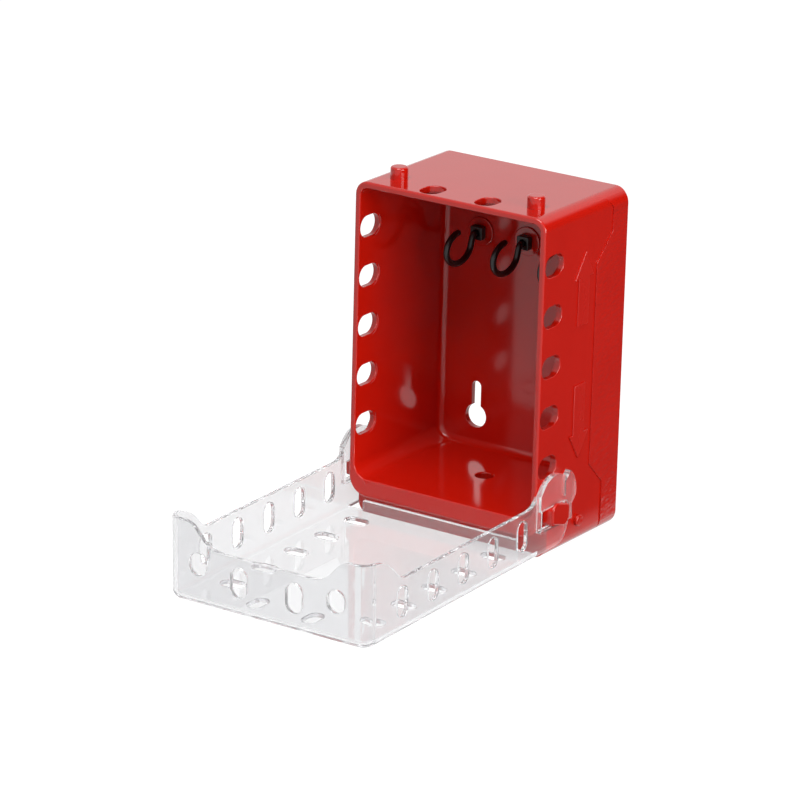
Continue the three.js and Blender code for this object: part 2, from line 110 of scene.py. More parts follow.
def new_node(tree, kind, **settings):
    """A node with its settings, where in_2=5 sets its third input to 5."""
    node = tree.nodes.new(kind)
    for name, value in settings.items():
        if name.startswith("in_"):
            node.inputs[int(name[3:])].default_value = value
        else:
            setattr(node, name, value)
    return node


def maths(tree, operation, *values):
    """A calculation, whose values are outputs or plain numbers."""
    node = new_node(tree, "ShaderNodeMath", operation=operation)
    for socket, value in enumerate(values):
        if isinstance(value, tuple):
            link(tree, *value, node, socket)
        else:
            node.inputs[socket].default_value = value
    return node, "Value"


def ranged(tree, source, start, end, low=0.0, high=1.0, kind="LINEAR"):
    """A value that goes from low to high while its source goes from start to end."""
    node = new_node(tree, "ShaderNodeMapRange", in_1=start, in_2=end, in_3=low, in_4=high)
    node.interpolation_type = kind
    link(tree, *source, node, "Value")
    return node, "Result"


def mixed(tree, share, first, second):
    node = new_node(tree, "ShaderNodeMixShader")
    for socket, value in enumerate((share, first, second)):
        link(tree, *value, node, socket)
    return node, "Shader"


def split_up(tree, output):
    """The X, Y and Z of where something is, or of a ray's direction."""
    node = new_node(tree, "ShaderNodeSeparateXYZ")
    link(tree, new_node(tree, "ShaderNodeTexCoord"), output, node, "Vector")
    return [(node, axis) for axis in "XYZ"]


print("helpers: link, new_node, maths, ranged, mixed, split_up")

# %% [markdown]
# ## The studio
# Clear and glossy plastic show what surrounds them more than what lights them. So the white room is
# set three times: a low plain level that lights the box, pure white for the camera and for gloss,
# and, for rays that pass through the clear cover, white below and grey above. The grey is what
# gives the cover's rounded edges their lines, as the darker upper part of a real studio does. For
# gloss a soft black card stands on the right, behind the box: the right wall mirrors it and stays
# fully red. The card could be a real plane, but a mask needs no object, and only gloss sees it.

# %% World
ROOM_LIGHT = 0.22
EDGE_GREY = 0.8
EDGE_RANGE = (0.02, 0.3)
CARD_ASIDE = (0.2, 0.5)
CARD_BEHIND = (0.0, 0.2)
CARD_LEVEL = 0.03


def card_in_gloss(tree, x, y, rays, aside, behind):
    """Goes to 1 for glossy rays to the right and behind, and stays 0 for all others."""
    card = maths(tree, "MULTIPLY", ranged(tree, x, *aside, kind="SMOOTHSTEP"),
                 ranged(tree, y, *behind, kind="SMOOTHSTEP"))
    return maths(tree, "MULTIPLY", card, (rays, "Is Glossy Ray"))


def background(tree, strength):
    node = new_node(tree, "ShaderNodeBackground", in_0=WHITE)
    link(tree, *strength, node, "Strength")
    return node, "Background"


world = bpy.data.worlds.new("white_room")
world.use_nodes = True
scene.world = world
tree = world.node_tree
tree.nodes.clear()
x, y, z = split_up(tree, "Generated")
rays = new_node(tree, "ShaderNodeLightPath")
dark = card_in_gloss(tree, x, y, rays, CARD_ASIDE, CARD_BEHIND)
plain = maths(tree, "MAXIMUM", (rays, "Is Camera Ray"), (rays, "Is Glossy Ray"))
light = new_node(tree, "ShaderNodeBackground", in_0=WHITE, in_1=ROOM_LIGHT)
white = background(tree, ranged(tree, dark, 0, 1, 1, CARD_LEVEL))
through = background(tree, ranged(tree, z, *EDGE_RANGE, 1, EDGE_GREY, "SMOOTHSTEP"))
room = mixed(tree, (rays, "Is Transmission Ray"),
             mixed(tree, plain, (light, "Background"), white), through)
link(tree, *room, new_node(tree, "ShaderNodeOutputWorld"), "Surface")
scene.view_settings.view_transform = "Standard"
print("world:", world.name, "at level", ROOM_LIGHT)

# %% [markdown]
# ## The lamps
# A large soft lamp far to the right of the camera lights the right wall. It reaches the left wall
# inside only near the front. A second lamp, high over the camera, lights the top and the front rim,
# and leaves the inside dark behind. Small lamps would be easier to aim, but gloss would show them
# as hard spots. The power of each follows from its distance, so that a lamp can be moved without a
# change of brightness.

# %% Lamps
LAMP_AIM = Vector((0, 0.06, 0.08))
LAMP_DISTANCE = 1.5
LAMP_SIZE = 0.9
BOUNCES = 64
CLEAR_BOUNCES = 48


def softbox(name, azimuth, elevation, level):
    """A square lamp at a direction from the camera's side, in degrees, that faces the box."""
    data = bpy.data.lights.new(name, "AREA")
    data.size = LAMP_SIZE
    data.energy = level * (pi * LAMP_DISTANCE) ** 2
    turn, height = radians(azimuth), radians(elevation)
    toward_lamp = Vector((sin(turn) * cos(height), -cos(turn) * cos(height), sin(height)))
    lamp = bpy.data.objects.new(name, data)
    lamp.location = LAMP_AIM + LAMP_DISTANCE * toward_lamp
    lamp.rotation_euler = toward_lamp.to_track_quat("Z", "Y").to_euler()
    scene.collection.objects.link(lamp)
    print(f"{name}: {data.energy:.1f} W")


softbox("side", azimuth=78, elevation=10, level=0.85)
softbox("high", azimuth=15, elevation=66, level=0.82)
scene.cycles.max_bounces = BOUNCES
scene.cycles.glossy_bounces = CLEAR_BOUNCES
scene.cycles.transmission_bounces = CLEAR_BOUNCES

# %% [markdown]
# ## The floor
# The floor is white paper that melts into the background. A studio bends the paper up behind the
# box; here it is flat and glows for the camera, so it has no edge. It keeps a small share of real
# paint, which takes the box's soft shadow. The paint is greyer in the light that it throws back on
# the box. Gloss sees the floor white too, except to the right of the box and behind it, where it
# carries on the black card.

# %% Floor
FLOOR_SIZE = 6.0
FLOOR_PAINT = 0.2
FLOOR_GLOW = 1.2
FLOOR_WHITE = 0.9
FLOOR_FILL = 0.35
FLOOR_CARD_ASIDE = (0.055, 0.075)
FLOOR_CARD_BEHIND = (0.03, 0.05)

floor_mesh = bpy.data.meshes.new("floor")
half = FLOOR_SIZE / 2
floor_mesh.from_pydata([(-half, -half, 0), (half, -half, 0), (half, half, 0), (-half, half, 0)], [],
                       [(0, 1, 2, 3)])
floor = bpy.data.objects.new("floor", floor_mesh)
scene.collection.objects.link(floor)
floor_white = bpy.data.materials.new("floor_white")
floor_white.use_nodes = True
tree = floor_white.node_tree
tree.nodes.clear()
x, y = split_up(tree, "Object")[:2]
rays = new_node(tree, "ShaderNodeLightPath")
dark = card_in_gloss(tree, x, y, rays, FLOOR_CARD_ASIDE, FLOOR_CARD_BEHIND)
seen = maths(tree, "MAXIMUM", (rays, "Is Camera Ray"), (rays, "Is Transmission Ray"))
seen = maths(tree, "MAXIMUM", seen, (rays, "Is Glossy Ray"))
paint = new_node(tree, "ShaderNodeBsdfDiffuse")
link(tree, *ranged(tree, (rays, "Is Camera Ray"), 0, 1, FLOOR_FILL, FLOOR_WHITE), paint, "Color")
glow = new_node(tree, "ShaderNodeEmission", in_0=WHITE)
link(tree, *ranged(tree, dark, 0, 1, FLOOR_GLOW, CARD_LEVEL), glow, "Strength")
paper = mixed(tree, maths(tree, "MULTIPLY", seen, 1 - FLOOR_PAINT), (paint, "BSDF"),
              (glow, "Emission"))
link(tree, *paper, new_node(tree, "ShaderNodeOutputMaterial"), "Surface")
floor.data.materials.append(floor_white)
print("floor:", FLOOR_SIZE, "m square")

# %% [markdown]
# ## The red plastic
# The case is moulded from glossy red plastic. A polished mould leaves a surface that is nearly a
# mirror, with a very slight waviness that breaks up long reflections. The colour is one deep red;
# the noise changes it only a little, as pigment does, and the roughness changes in broad soft
# patches. An image could do this too, but a pattern made of nodes has no seams and no smallest dot.
# It follows Object coordinates, so it stays on the piece when the piece moves.

# %% Patterns on a piece
def noise(tree, where, size, detail):
    """A noise on the piece's own coordinates, with patches about this wide, in metres."""
    pattern = new_node(tree, "ShaderNodeTexNoise")
    pattern.inputs["Scale"].default_value = 1 / size
    pattern.inputs["Detail"].default_value = detail
    link(tree, where, "Object", pattern, "Vector")
    return pattern, "Fac"


def bump(tree, shader, pattern, height):
    """Bends the shading by a pattern, on top of a bump that is there already."""
    node = new_node(tree, "ShaderNodeBump")
    node.inputs["Distance"].default_value = height
    link(tree, *pattern, node, "Height")
    for earlier in shader.inputs["Normal"].links:
        link(tree, earlier.from_node, "Normal", node, "Normal")
    link(tree, node, "Normal", shader, "Normal")


print("helpers: noise, bump")

# %% Red plastic
RED = (0.51, 0.0078, 0.0025, 1)
RED_DEEP = (0.485, 0.0070, 0.0021, 1)
RED_ROUGHNESS = 0.1
MATT_ROUGHNESS = 0.26
PIGMENT_RANGE = (0.3, 0.6)
GLOSS_RANGE = (0.3, 0.7)
GLOSS_SPREAD = 0.2
PATCH_DETAIL = 4
WAVE_DETAIL = 1


def new_material(name):
    material = bpy.data.materials.new(name)
    material.use_nodes = True
    return material, material.node_tree, material.node_tree.nodes["Principled BSDF"]


def plastic(name, colour, deep, roughness, patch_size, wave_size, wave_height):
    """Moulded plastic: a colour that varies a little, patchy gloss and a faint waviness."""
    material, tree, shader = new_material(name)
    where = new_node(tree, "ShaderNodeTexCoord")
    patches = noise(tree, where, patch_size, PATCH_DETAIL)
    tint = new_node(tree, "ShaderNodeMix", data_type="RGBA")
    tint.inputs["A"].default_value = deep
    tint.inputs["B"].default_value = colour
    link(tree, *ranged(tree, patches, *PIGMENT_RANGE), tint, "Factor")
    link(tree, tint, "Result", shader, "Base Color")
    gloss = ranged(tree, patches, *GLOSS_RANGE, roughness * (1 - GLOSS_SPREAD),
                   roughness * (1 + GLOSS_SPREAD))
    link(tree, *gloss, shader, "Roughness")
    bump(tree, shader, noise(tree, where, wave_size, WAVE_DETAIL), wave_height)
    return material


red_plastic, red_matt = (
    plastic(name, RED, RED_DEEP, roughness, patch_size=0.03, wave_size=0.012, wave_height=0.00002)
    for name, roughness in (("red_plastic", RED_ROUGHNESS), ("red_matt", MATT_ROUGHNESS)))
print("made", red_plastic.name, red_matt.name)

# %% [markdown]
# ## The grain of the side panels
# The raised panels at the rear of both side walls have a fine slanted grain and are less glossy. It
# could be carved, but it is finer than any edge that a picture shows, so a bump is enough. Only the
# panels, and the small studs and stubs, reach out so far on the case's sides, so a mask worked out
# from the distance to the middle turns the grain on there.

# %% Panel grain
GRAIN_FROM = 0.0525
GRAIN_TO = 0.0527
GRAIN_SIZE = 0.0017
GRAIN_SLANT = radians(40)
GRAIN_STRETCH = 0.45
GRAIN_DEPTH = 0.0003
GRAIN_MATT = 0.14

red_case = red_plastic.copy()
red_case.name = "red_case"
tree = red_case.node_tree
shader = tree.nodes["Principled BSDF"]
x = split_up(tree, "Object")[0]
on_panel = ranged(tree, maths(tree, "ABSOLUTE", x), GRAIN_FROM, GRAIN_TO)
slant = new_node(tree, "ShaderNodeMapping")
slant.inputs["Rotation"].default_value = (GRAIN_SLANT, 0, 0)
slant.inputs["Scale"].default_value = (1, GRAIN_STRETCH, 1)
link(tree, new_node(tree, "ShaderNodeTexCoord"), "Object", slant, "Vector")
cells = new_node(tree, "ShaderNodeTexVoronoi", feature="SMOOTH_F1")
cells.inputs["Scale"].default_value = 1 / GRAIN_SIZE
link(tree, slant, "Vector", cells, "Vector")
bump(tree, shader, maths(tree, "MULTIPLY", (cells, "Distance"), on_panel), GRAIN_DEPTH)
gloss = shader.inputs["Roughness"].links[0].from_node
matt = maths(tree, "MULTIPLY_ADD", on_panel, GRAIN_MATT, (gloss, "Result"))
link(tree, *matt, shader, "Roughness")
print("made", red_case.name, "with grain", GRAIN_SIZE * 1000, "mm wide")

# %% [markdown]
# ## Black plastic and clear plastic
# The hooks are wire dipped in black vinyl: satin, and softer than the case. The cover is clear
# polycarbonate. A thin sheet that is only see-through would be quicker, but it has no lines at its
# edges. So the cover is a solid that light really passes through: its walls have a true thickness,
# and its rounded edges gather the light into bright and dark lines. Moulded plastic is never quite
# clear, so a small share of the light is scattered, which shows as a haze over the red. Lamp light
# passes the cover without being bent, because the bright spots that bending makes are slow to
# render.

# %% Black plastic
BLACK = (0.009, 0.009, 0.0095, 1)
BLACK_DEEP = (0.006, 0.006, 0.006, 1)
VINYL_ROUGHNESS = 0.34
COLLAR_ROUGHNESS = 0.4

black_vinyl = plastic("black_vinyl", BLACK, BLACK_DEEP, VINYL_ROUGHNESS, patch_size=0.006,
                      wave_size=0.0016, wave_height=0.00003)
black_collar = plastic("black_collar", BLACK, BLACK_DEEP, COLLAR_ROUGHNESS, patch_size=0.008,
                       wave_size=0.002, wave_height=0.00002)
print("made", black_vinyl.name, black_collar.name)

# %% Clear plastic
CLEAR_TINT = (0.862, 0.864, 0.873, 1)
CLEAR_MILK = (0.9, 0.9, 0.92, 1)
CLEAR_IOR = 1.55
CLEAR_ROUGHNESS = (0.015, 0.05)
CLEAR_SHADOW = 0.88
CLEAR_HAZE = 0.042
FLOW_SIZE = 1 / 45
FLOW_HEIGHT = 0.00002
FLOW_DETAIL = 2

clear_plastic, tree, shader = new_material("clear_plastic")
shader.inputs["Base Color"].default_value = CLEAR_TINT
shader.inputs["Transmission Weight"].default_value = 1.0
shader.inputs["IOR"].default_value = CLEAR_IOR
flow = noise(tree, new_node(tree, "ShaderNodeTexCoord"), FLOW_SIZE, FLOW_DETAIL)
link(tree, *ranged(tree, flow, *GLOSS_RANGE, *CLEAR_ROUGHNESS), shader, "Roughness")
bump(tree, shader, flow, FLOW_HEIGHT)
milk = new_node(tree, "ShaderNodeBsdfDiffuse", in_0=CLEAR_MILK)
hazed = new_node(tree, "ShaderNodeMixShader", in_0=CLEAR_HAZE)
link(tree, shader, "BSDF", hazed, 1)
link(tree, milk, "BSDF", hazed, 2)
rays = new_node(tree, "ShaderNodeLightPath")
let_light_by = new_node(tree, "ShaderNodeBsdfTransparent", in_0=(CLEAR_SHADOW,) * 3 + (1,))
surface = mixed(tree, (rays, "Is Shadow Ray"), (hazed, "Shader"), (let_light_by, "BSDF"))
link(tree, *surface, tree.nodes["Material Output"], "Surface")
print("made", clear_plastic.name)

# %% [markdown]
# ## Outlines
# Nearly every form on a moulded box is an outline pushed along an axis, with its end edges rounded.
# Outlines could be drawn as curves, but lists of points are easier to cut, mirror and measure. The
# helpers draw them in millimetres, always anticlockwise. `grown` moves an outline outwards.

# %% Arcs, slots and circles
ARC_STEPS = 8


def arc(u, v, radius, start, end, steps=ARC_STEPS):
    turns = [start + (end - start) * k / steps for k in range(steps + 1)]
    return [(u + radius * cos(turn), v + radius * sin(turn)) for turn in turns]


def rounded(left, right, low, high, *radii):
    """A box with a low and a high radius, or one each from its low right corner on round."""
    if len(radii) == 2:
        radii += radii[::-1]
    outline = []
    for k, radius in enumerate(radii):
        u = right - radius if k < 2 else left + radius
        v = low + radius if k in (0, 3) else high - radius
        outline += arc(u, v, radius, (k - 1) * QUARTER, k * QUARTER)
    return outline


def obround(u, v, across, along):
    """A slot with round ends, across and along the two directions of its plane."""
    radius = min(across, along) / 2
    du, dv = across / 2 - radius, along / 2 - radius
    first = -QUARTER if du > dv else 0
    return (arc(u + du, v + dv, radius, first, first + pi, 2 * ARC_STEPS)
            + arc(u - du, v - dv, radius, first + pi, first + 2 * pi, 2 * ARC_STEPS))


def circle(u, v, radius):
    return arc(u, v, radius, 0, 2 * pi, 8 * ARC_STEPS)[:-1]


print("a slot outline has", len(obround(0, 0, 2, 1)), "points")

# %% Curves and grown outlines
def curve(start, lead, tail, end, steps=3 * ARC_STEPS):
    """Points on a cubic curve, without its first."""
    points = []
    for k in range(1, steps + 1):
        t = k / steps
        a, b, c, d = (1 - t) ** 3, 3 * t * (1 - t) ** 2, 3 * t * t * (1 - t), t ** 3
        points.append(tuple(a * p + b * q + c * r + d * s
                            for p, q, r, s in zip(start, lead, tail, end)))
    return points


def grown(outline, by):
    """The outline moved outwards, each corner along the middle of its two edges' normals."""
    points = [Vector(point) for point in outline]
    count = len(points)
    result = []
    for k, point in enumerate(points):
        before = (point - points[k - 1]).normalized()
        after = (points[(k + 1) % count] - point).normalized()
        out_before = Vector((before.y, -before.x))
        out_after = Vector((after.y, -after.x))
        middle = (out_before + out_after) / (1 + out_before.dot(out_after))
        result.append(tuple(point + by * middle))
    return result


print("helpers: curve, grown")

# %% [markdown]
# ## Solids
# `skin` closes a stack of outlines into a solid. `prism` stacks grown and shrunk copies of one
# outline, so that an end is rounded over (a positive round) or flares out like a trumpet (a
# negative one). A bevel could round the ends later, but it fails where small edges meet, and this
# never does. A flared prism is a cutter: it leaves a hole whose edges are already rounded.

# %% Skins and prisms
ROUND_STEPS = 5
OVERRUN = 4
HAIR = 0.01
SAME_POINT = 1e-5

TURNED = {
    "x": lambda u, v, w: (w, u, v),
    "y": lambda u, v, w: (u, w, v),
    "z": lambda u, v, w: (u, v, w),
}


def skin(name, axis, rings):
    """A closed solid through a stack of outlines, each at its own place along the axis."""
    work = bmesh.new()
    loops = [[work.verts.new(TURNED[axis](u, v, place)) for u, v in ring] for place, ring in rings]
    for low, high in zip(loops, loops[1:]):
        for k in range(len(low)):
            after = (k + 1) % len(low)
            work.faces.new((low[k], low[after], high[after], high[k]))
    work.faces.new(loops[0][::-1])
    work.faces.new(loops[-1])
    bmesh.ops.remove_doubles(work, verts=work.verts, dist=SAME_POINT)
    bmesh.ops.recalc_face_normals(work, faces=work.faces)
    mesh = bpy.data.meshes.new(name)
    work.to_mesh(mesh)
    work.free()
    solid = bpy.data.objects.new(name, mesh)
    scene.collection.objects.link(solid)
    return solid


def end_rings(outline, place, inward, radius):
    """The rings of one end, from its face inwards; a negative radius flares the end."""
    if not radius:
        return [(place, outline)]
    size = abs(radius)
    rings = []
    for k in range(ROUND_STEPS + 1):
        turn = QUARTER * k / ROUND_STEPS
        growth = (size - size * sin(turn)) * (-1 if radius > 0 else 1)
        rings.append((place + inward * (size - size * cos(turn)), grown(outline, growth)))
    if radius < 0:
        flared = rings[0][1]
        rings = [(place - inward * OVERRUN, flared), (place - inward * HAIR, flared)] + rings[1:]
    return rings


def prism(name, axis, outline, start, end, start_round=0, end_round=0):
    rings = end_rings(outline, start, 1, start_round)
    return skin(name, axis, rings + end_rings(outline, end, -1, end_round)[::-1])


def on_side(side, name, outline, inner, outer, inner_round=0, outer_round=0):
    """A prism along X on one side: its inner end is the one nearer the middle."""
    if side > 0:
        return prism(name, "x", outline, inner, outer, inner_round, outer_round)
    return prism(name, "x", outline, -outer, -inner, outer_round, inner_round)


def block(name, left, right, front, rear, low, high):
    outline = [(left, front), (right, front), (right, rear), (left, rear)]
    return prism(name, "z", outline, low, high)


print("helpers: skin, end_rings, prism, on_side, block")

# %% [markdown]
# ## Joining, cutting and bevelling
# A boolean joins two closed solids or cuts one from the other. The Exact solver takes open meshes
# too, but is slower. The Manifold one only asks for closed solids, which is what `prism` makes.
# Each modifier is turned into plain mesh at once, so the next step starts from a finished piece.

# %% Booleans and bevels
BEVEL_FROM = radians(40)


def settle(piece):
    """Turns a piece with modifiers into a plain mesh."""
    graph = bpy.context.evaluated_depsgraph_get()
    plain = bpy.data.meshes.new_from_object(piece.evaluated_get(graph))
    old = piece.data
    piece.modifiers.clear()
    piece.data = plain
    bpy.data.meshes.remove(old)
    return piece


def combine(body, operation, *tools):
    """Joins solids to a body or cuts them from it, and clears them away."""
    for tool in tools:
        boolean = body.modifiers.new(tool.name, "BOOLEAN")
        boolean.operation = operation
        boolean.solver = "MANIFOLD"
        boolean.object = tool
    settle(body)
    for tool in tools:
        bpy.data.meshes.remove(tool.data)


def bevel(piece, width, segments=2):
    """Rounds the sharp edges of a simple solid."""
    rounding = piece.modifiers.new("bevel", "BEVEL")
    rounding.width = width
    rounding.segments = segments
    rounding.limit_method = "ANGLE"
    rounding.angle_limit = BEVEL_FROM
    settle(piece)


print("helpers: settle, combine, bevel")

# %% [markdown]
# ## Rows of holes with Geometry Nodes
# The same hole comes again and again: five slots in each wall, for padlocks. A loop could place the
# cutters one by one. A small tree of nodes that puts one on every point of a grid is as short, and
# its named inputs can be changed by hand later. It serves the case and all walls of the cover.

# %% Trees with named inputs
def new_tree(name, **kinds):
    """A tree with geometry in and out and named inputs, those inputs, and the node they come from."""
    tree = bpy.data.node_groups.new(name, "GeometryNodeTree")
    tree.interface.new_socket(name="Geometry", in_out="INPUT", socket_type="NodeSocketGeometry")
    sockets = {}
    for key, kind in kinds.items():
        label = key.replace("_", " ").capitalize()
        sockets[key] = tree.interface.new_socket(name=label, in_out="INPUT",
                                                 socket_type=f"NodeSocket{kind}")
    tree.interface.new_socket(name="Geometry", in_out="OUTPUT", socket_type="NodeSocketGeometry")
    return tree, sockets, new_node(tree, "NodeGroupInput")


def end_tree(tree, entry, source):
    """Makes instances real, paints them and passes them out."""
    real = new_node(tree, "GeometryNodeRealizeInstances")
    link(tree, *source, real, "Geometry")
    paint = new_node(tree, "GeometryNodeSetMaterial")
    link(tree, real, "Geometry", paint, "Geometry")
    link(tree, entry, "Material", paint, "Material")
    link(tree, paint, "Geometry", new_node(tree, "NodeGroupOutput"), "Geometry")


def run_tree(piece, tree, sockets, **values):
    """Adds the tree to a piece, sets its inputs by their identifiers, and makes the mesh."""
    modifier = piece.modifiers.new(tree.name, "NODES")
    modifier.node_group = tree
    for name, value in values.items():
        modifier[sockets[name].identifier] = value
    return settle(piece)


print("helpers: new_tree, end_tree, run_tree")

# %% Grid of cutters
grid_tree, grid_inputs, entry = new_tree(
    "holes_on_a_grid", columns="Int", rows="Int", column_spacing="Float", row_spacing="Float",
    turn="Vector", centre="Vector", material="Material")
grid = new_node(grid_tree, "GeometryNodeMeshGrid")
for axis, count, spacing in (("X", "Columns", "Column spacing"), ("Y", "Rows", "Row spacing")):
    gaps = maths(grid_tree, "SUBTRACT", (entry, count), 1)
    span = maths(grid_tree, "MULTIPLY", gaps, (entry, spacing))
    link(grid_tree, *span, grid, f"Size {axis}")
    link(grid_tree, entry, count, grid, f"Vertices {axis}")
laid = new_node(grid_tree, "GeometryNodeTransform")
link(grid_tree, grid, "Mesh", laid, "Geometry")
link(grid_tree, entry, "Turn", laid, "Rotation")
link(grid_tree, entry, "Centre", laid, "Translation")
copies = new_node(grid_tree, "GeometryNodeInstanceOnPoints")
link(grid_tree, laid, "Geometry", copies, "Points")
link(grid_tree, entry, "Geometry", copies, "Instance")
end_tree(grid_tree, entry, (copies, "Instances"))


def hole_grid(cutter, columns, rows, column_spacing, row_spacing, centre, turn=(0, 0, 0),
              material=red_plastic):
    return run_tree(cutter, grid_tree, grid_inputs, columns=columns, rows=rows,
                    column_spacing=column_spacing, row_spacing=row_spacing, turn=turn,
                    centre=centre, material=material)


print("tree", grid_tree.name, "with", len(grid_inputs), "named inputs")

# %% [markdown]
# ## The case: its outer shell
# The case is one moulding. In front it is a round-cornered frame that stops short of the ground, so
# that the cover can hinge under it; behind, it goes down to the ground. One box could be cut to
# that shape, but two prisms, each with its own rounded ends, give the step between them its true
# edge. At the rear of both side walls the plastic stands a little proud in a stepped panel.

# %% Case outer
CASE_HALF = 52.2
CASE_DEPTH = 70.5
CASE_HEIGHT = 165
WALL = 3
CASE_CORNER = 6.5
EDGE_ROUND = 1.2
FOOT_CORNER = 6.5
FOOT_LEDGE = 0.8
FOOT_ROUND = 2.6
SLAB_DEPTH = 8.5
SLAB_BOTTOM = 11.8
SLAB_CORNER = 10
PANEL_PROUD = 0.6
PANEL_INSET = 0.2
PANEL_START = 40
PANEL_ROUND = 0.22
PANEL_EDGE = [(55.8, -OVERRUN), (CASE_DEPTH + OVERRUN, -OVERRUN),
              (CASE_DEPTH + OVERRUN, CASE_HEIGHT + OVERRUN), (47.5, CASE_HEIGHT + OVERRUN),
              (57, CASE_HEIGHT - CASE_CORNER), (57, 147), (44.3, 134.4), (44.3, 37), (55.8, 25.7)]

case = prism("case_shell", "y",
             rounded(-CASE_HALF, CASE_HALF, SLAB_BOTTOM, CASE_HEIGHT, SLAB_CORNER, CASE_CORNER),
             0, 2 * SLAB_DEPTH, EDGE_ROUND)
rear_part = prism("rear_part", "y",
                  rounded(-CASE_HALF, CASE_HALF, 0, CASE_HEIGHT, FOOT_CORNER, CASE_CORNER),
                  SLAB_DEPTH, CASE_DEPTH, EDGE_ROUND / 2, EDGE_ROUND)
combine(case, "UNION", rear_part)

panel_half = CASE_HALF + PANEL_PROUD
panels = prism("panels", "y",
               rounded(-panel_half, panel_half, PANEL_INSET, CASE_HEIGHT - PANEL_INSET,
                       FOOT_CORNER + PANEL_PROUD, CASE_CORNER + PANEL_PROUD),
               PANEL_START, CASE_DEPTH - PANEL_INSET, 0, EDGE_ROUND)
combine(panels, "INTERSECT",
        prism("panel_edge", "x", PANEL_EDGE, -CASE_HALF - OVERRUN, CASE_HALF + OVERRUN))
bevel(panels, PANEL_ROUND)
combine(case, "UNION", panels)
print("outer shell:", len(case.data.polygons), "faces")

# %% [markdown]
# ## The case: its hollows
# The inside is one deep pocket with a rounded rear edge, and the underside is hollow too, as a
# mould needs even walls. The pocket narrows a little toward the back, which lets the moulding come
# off its core. Solidify would give the case walls, but no such taper. So a skin goes from a wide
# outline at the mouth to a narrower one at the rear, and is cut out. The mouth is flared, which
# rounds the inner edge of the rim.

# %% Case hollows
CAVITY_HALF = CASE_HALF - WALL
CAVITY_REAR = CASE_DEPTH - WALL
CAVITY_CORNER = 4
CAVITY_LOWER_CORNER = 7
CAVITY_FILLET = 3.4
DRAFT = 2.4
RIM_ROUND = 0.7
FLOOR_TOP = 20.8
FLOOR_UNDER = FLOOR_TOP - WALL
HOLLOW_ROUND = 1

foot = [(CASE_DEPTH - FOOT_ROUND, -OVERRUN), (CASE_DEPTH + OVERRUN, -OVERRUN),
        (CASE_DEPTH + OVERRUN, FOOT_ROUND)]
foot += arc(CASE_DEPTH - FOOT_ROUND, FOOT_ROUND, FOOT_ROUND, 0, -QUARTER)
foot_cut = prism("foot_cut", "x", foot, -CASE_HALF - OVERRUN, CASE_HALF + OVERRUN)

pocket_mouth, pocket_end = (
    rounded(draft - CAVITY_HALF, CAVITY_HALF - draft, FLOOR_TOP + draft, CASE_HEIGHT - WALL - draft,
            CAVITY_LOWER_CORNER, CAVITY_CORNER)
    for draft in (0, DRAFT))
pocket_cut = skin("pocket_cut", "y", end_rings(pocket_mouth, 0, 1, -RIM_ROUND)
                  + end_rings(pocket_end, CAVITY_REAR, -1, CAVITY_FILLET)[::-1])
foot_middle = CASE_HALF - FOOT_CORNER
mouth = foot_middle - FOOT_LEDGE
hollow_outline = [(-mouth, -OVERRUN), (mouth, -OVERRUN), (mouth, WALL)]
hollow_outline += arc(foot_middle, FOOT_CORNER, FOOT_CORNER - WALL, -QUARTER, 0)
hollow_outline += [(CAVITY_HALF, FLOOR_UNDER), (-CAVITY_HALF, FLOOR_UNDER)]
hollow_outline += arc(-foot_middle, FOOT_CORNER, FOOT_CORNER - WALL, 2 * QUARTER, 3 * QUARTER)
hollow_outline += [(-mouth, WALL)]
hollow_cut = prism("hollow_cut", "y", hollow_outline, SLAB_DEPTH + WALL, CAVITY_REAR,
                   HOLLOW_ROUND, HOLLOW_ROUND)
combine(case, "DIFFERENCE", foot_cut, pocket_cut, hollow_cut)
print("hollowed case:", len(case.data.polygons), "faces")

# %% [markdown]
# ## The case: its holes
# Padlocks go through the slots in the side walls and the top. Two keyholes in the back hang the box
# on screws, and a hole in the floor lets water out. They could be drilled one at a time, but holes
# that come from one cutter stay alike. So each kind is one flared cutter, which the grid tree
# repeats. The slots in both walls are cut by a single grid, as wide as the case.

# %% Case slots
HOLE_ROUND = 0.45
SIDE_SLOT_WIDE = 15.2
SIDE_SLOT_HIGH = 10.2
SLOT_ROWS = 5
SLOT_PITCH = 24.1
SLOT_MIDDLE = 93.5
SLOT_FROM_FRONT = 8.7
TOP_SLOT_WIDE = 10.2
TOP_SLOT_DEEP = 14
TOP_SLOT_FROM_FRONT = 8.8
TOP_SLOT_SPACING = 30

slot = prism("side_slots", "x", obround(0, 0, SIDE_SLOT_WIDE, SIDE_SLOT_HIGH), -WALL / 2, WALL / 2,
             -HOLE_ROUND, -HOLE_ROUND)
side_slots = hole_grid(slot, 2, SLOT_ROWS, 2 * CASE_HALF - WALL, SLOT_PITCH,
                       (0, SLOT_FROM_FRONT, SLOT_MIDDLE), (QUARTER, 0, 0))
top_slot = prism("top_slots", "z", obround(0, 0, TOP_SLOT_WIDE, TOP_SLOT_DEEP), CASE_HEIGHT - WALL,
                 CASE_HEIGHT, -HOLE_ROUND, -HOLE_ROUND)
top_slots = hole_grid(top_slot, 2, 1, TOP_SLOT_SPACING, 0, (0, TOP_SLOT_FROM_FRONT, 0))
print("slot cutters:", len(side_slots.data.polygons) + len(top_slots.data.polygons), "faces")

# %% Keyholes and drain
KEYHOLE_OFFSET = 26
KEYHOLE_RADIUS = 5.75
KEYHOLE_HEIGHT = 37.9
KEYHOLE_NECK = 2.5
KEYHOLE_TOP = 55.3
KEYHOLE_ROUND = 0.3
DRAIN_RADIUS = 4.3
DRAIN_FROM_FRONT = 36.5
DRAIN_ROUND = 0.5

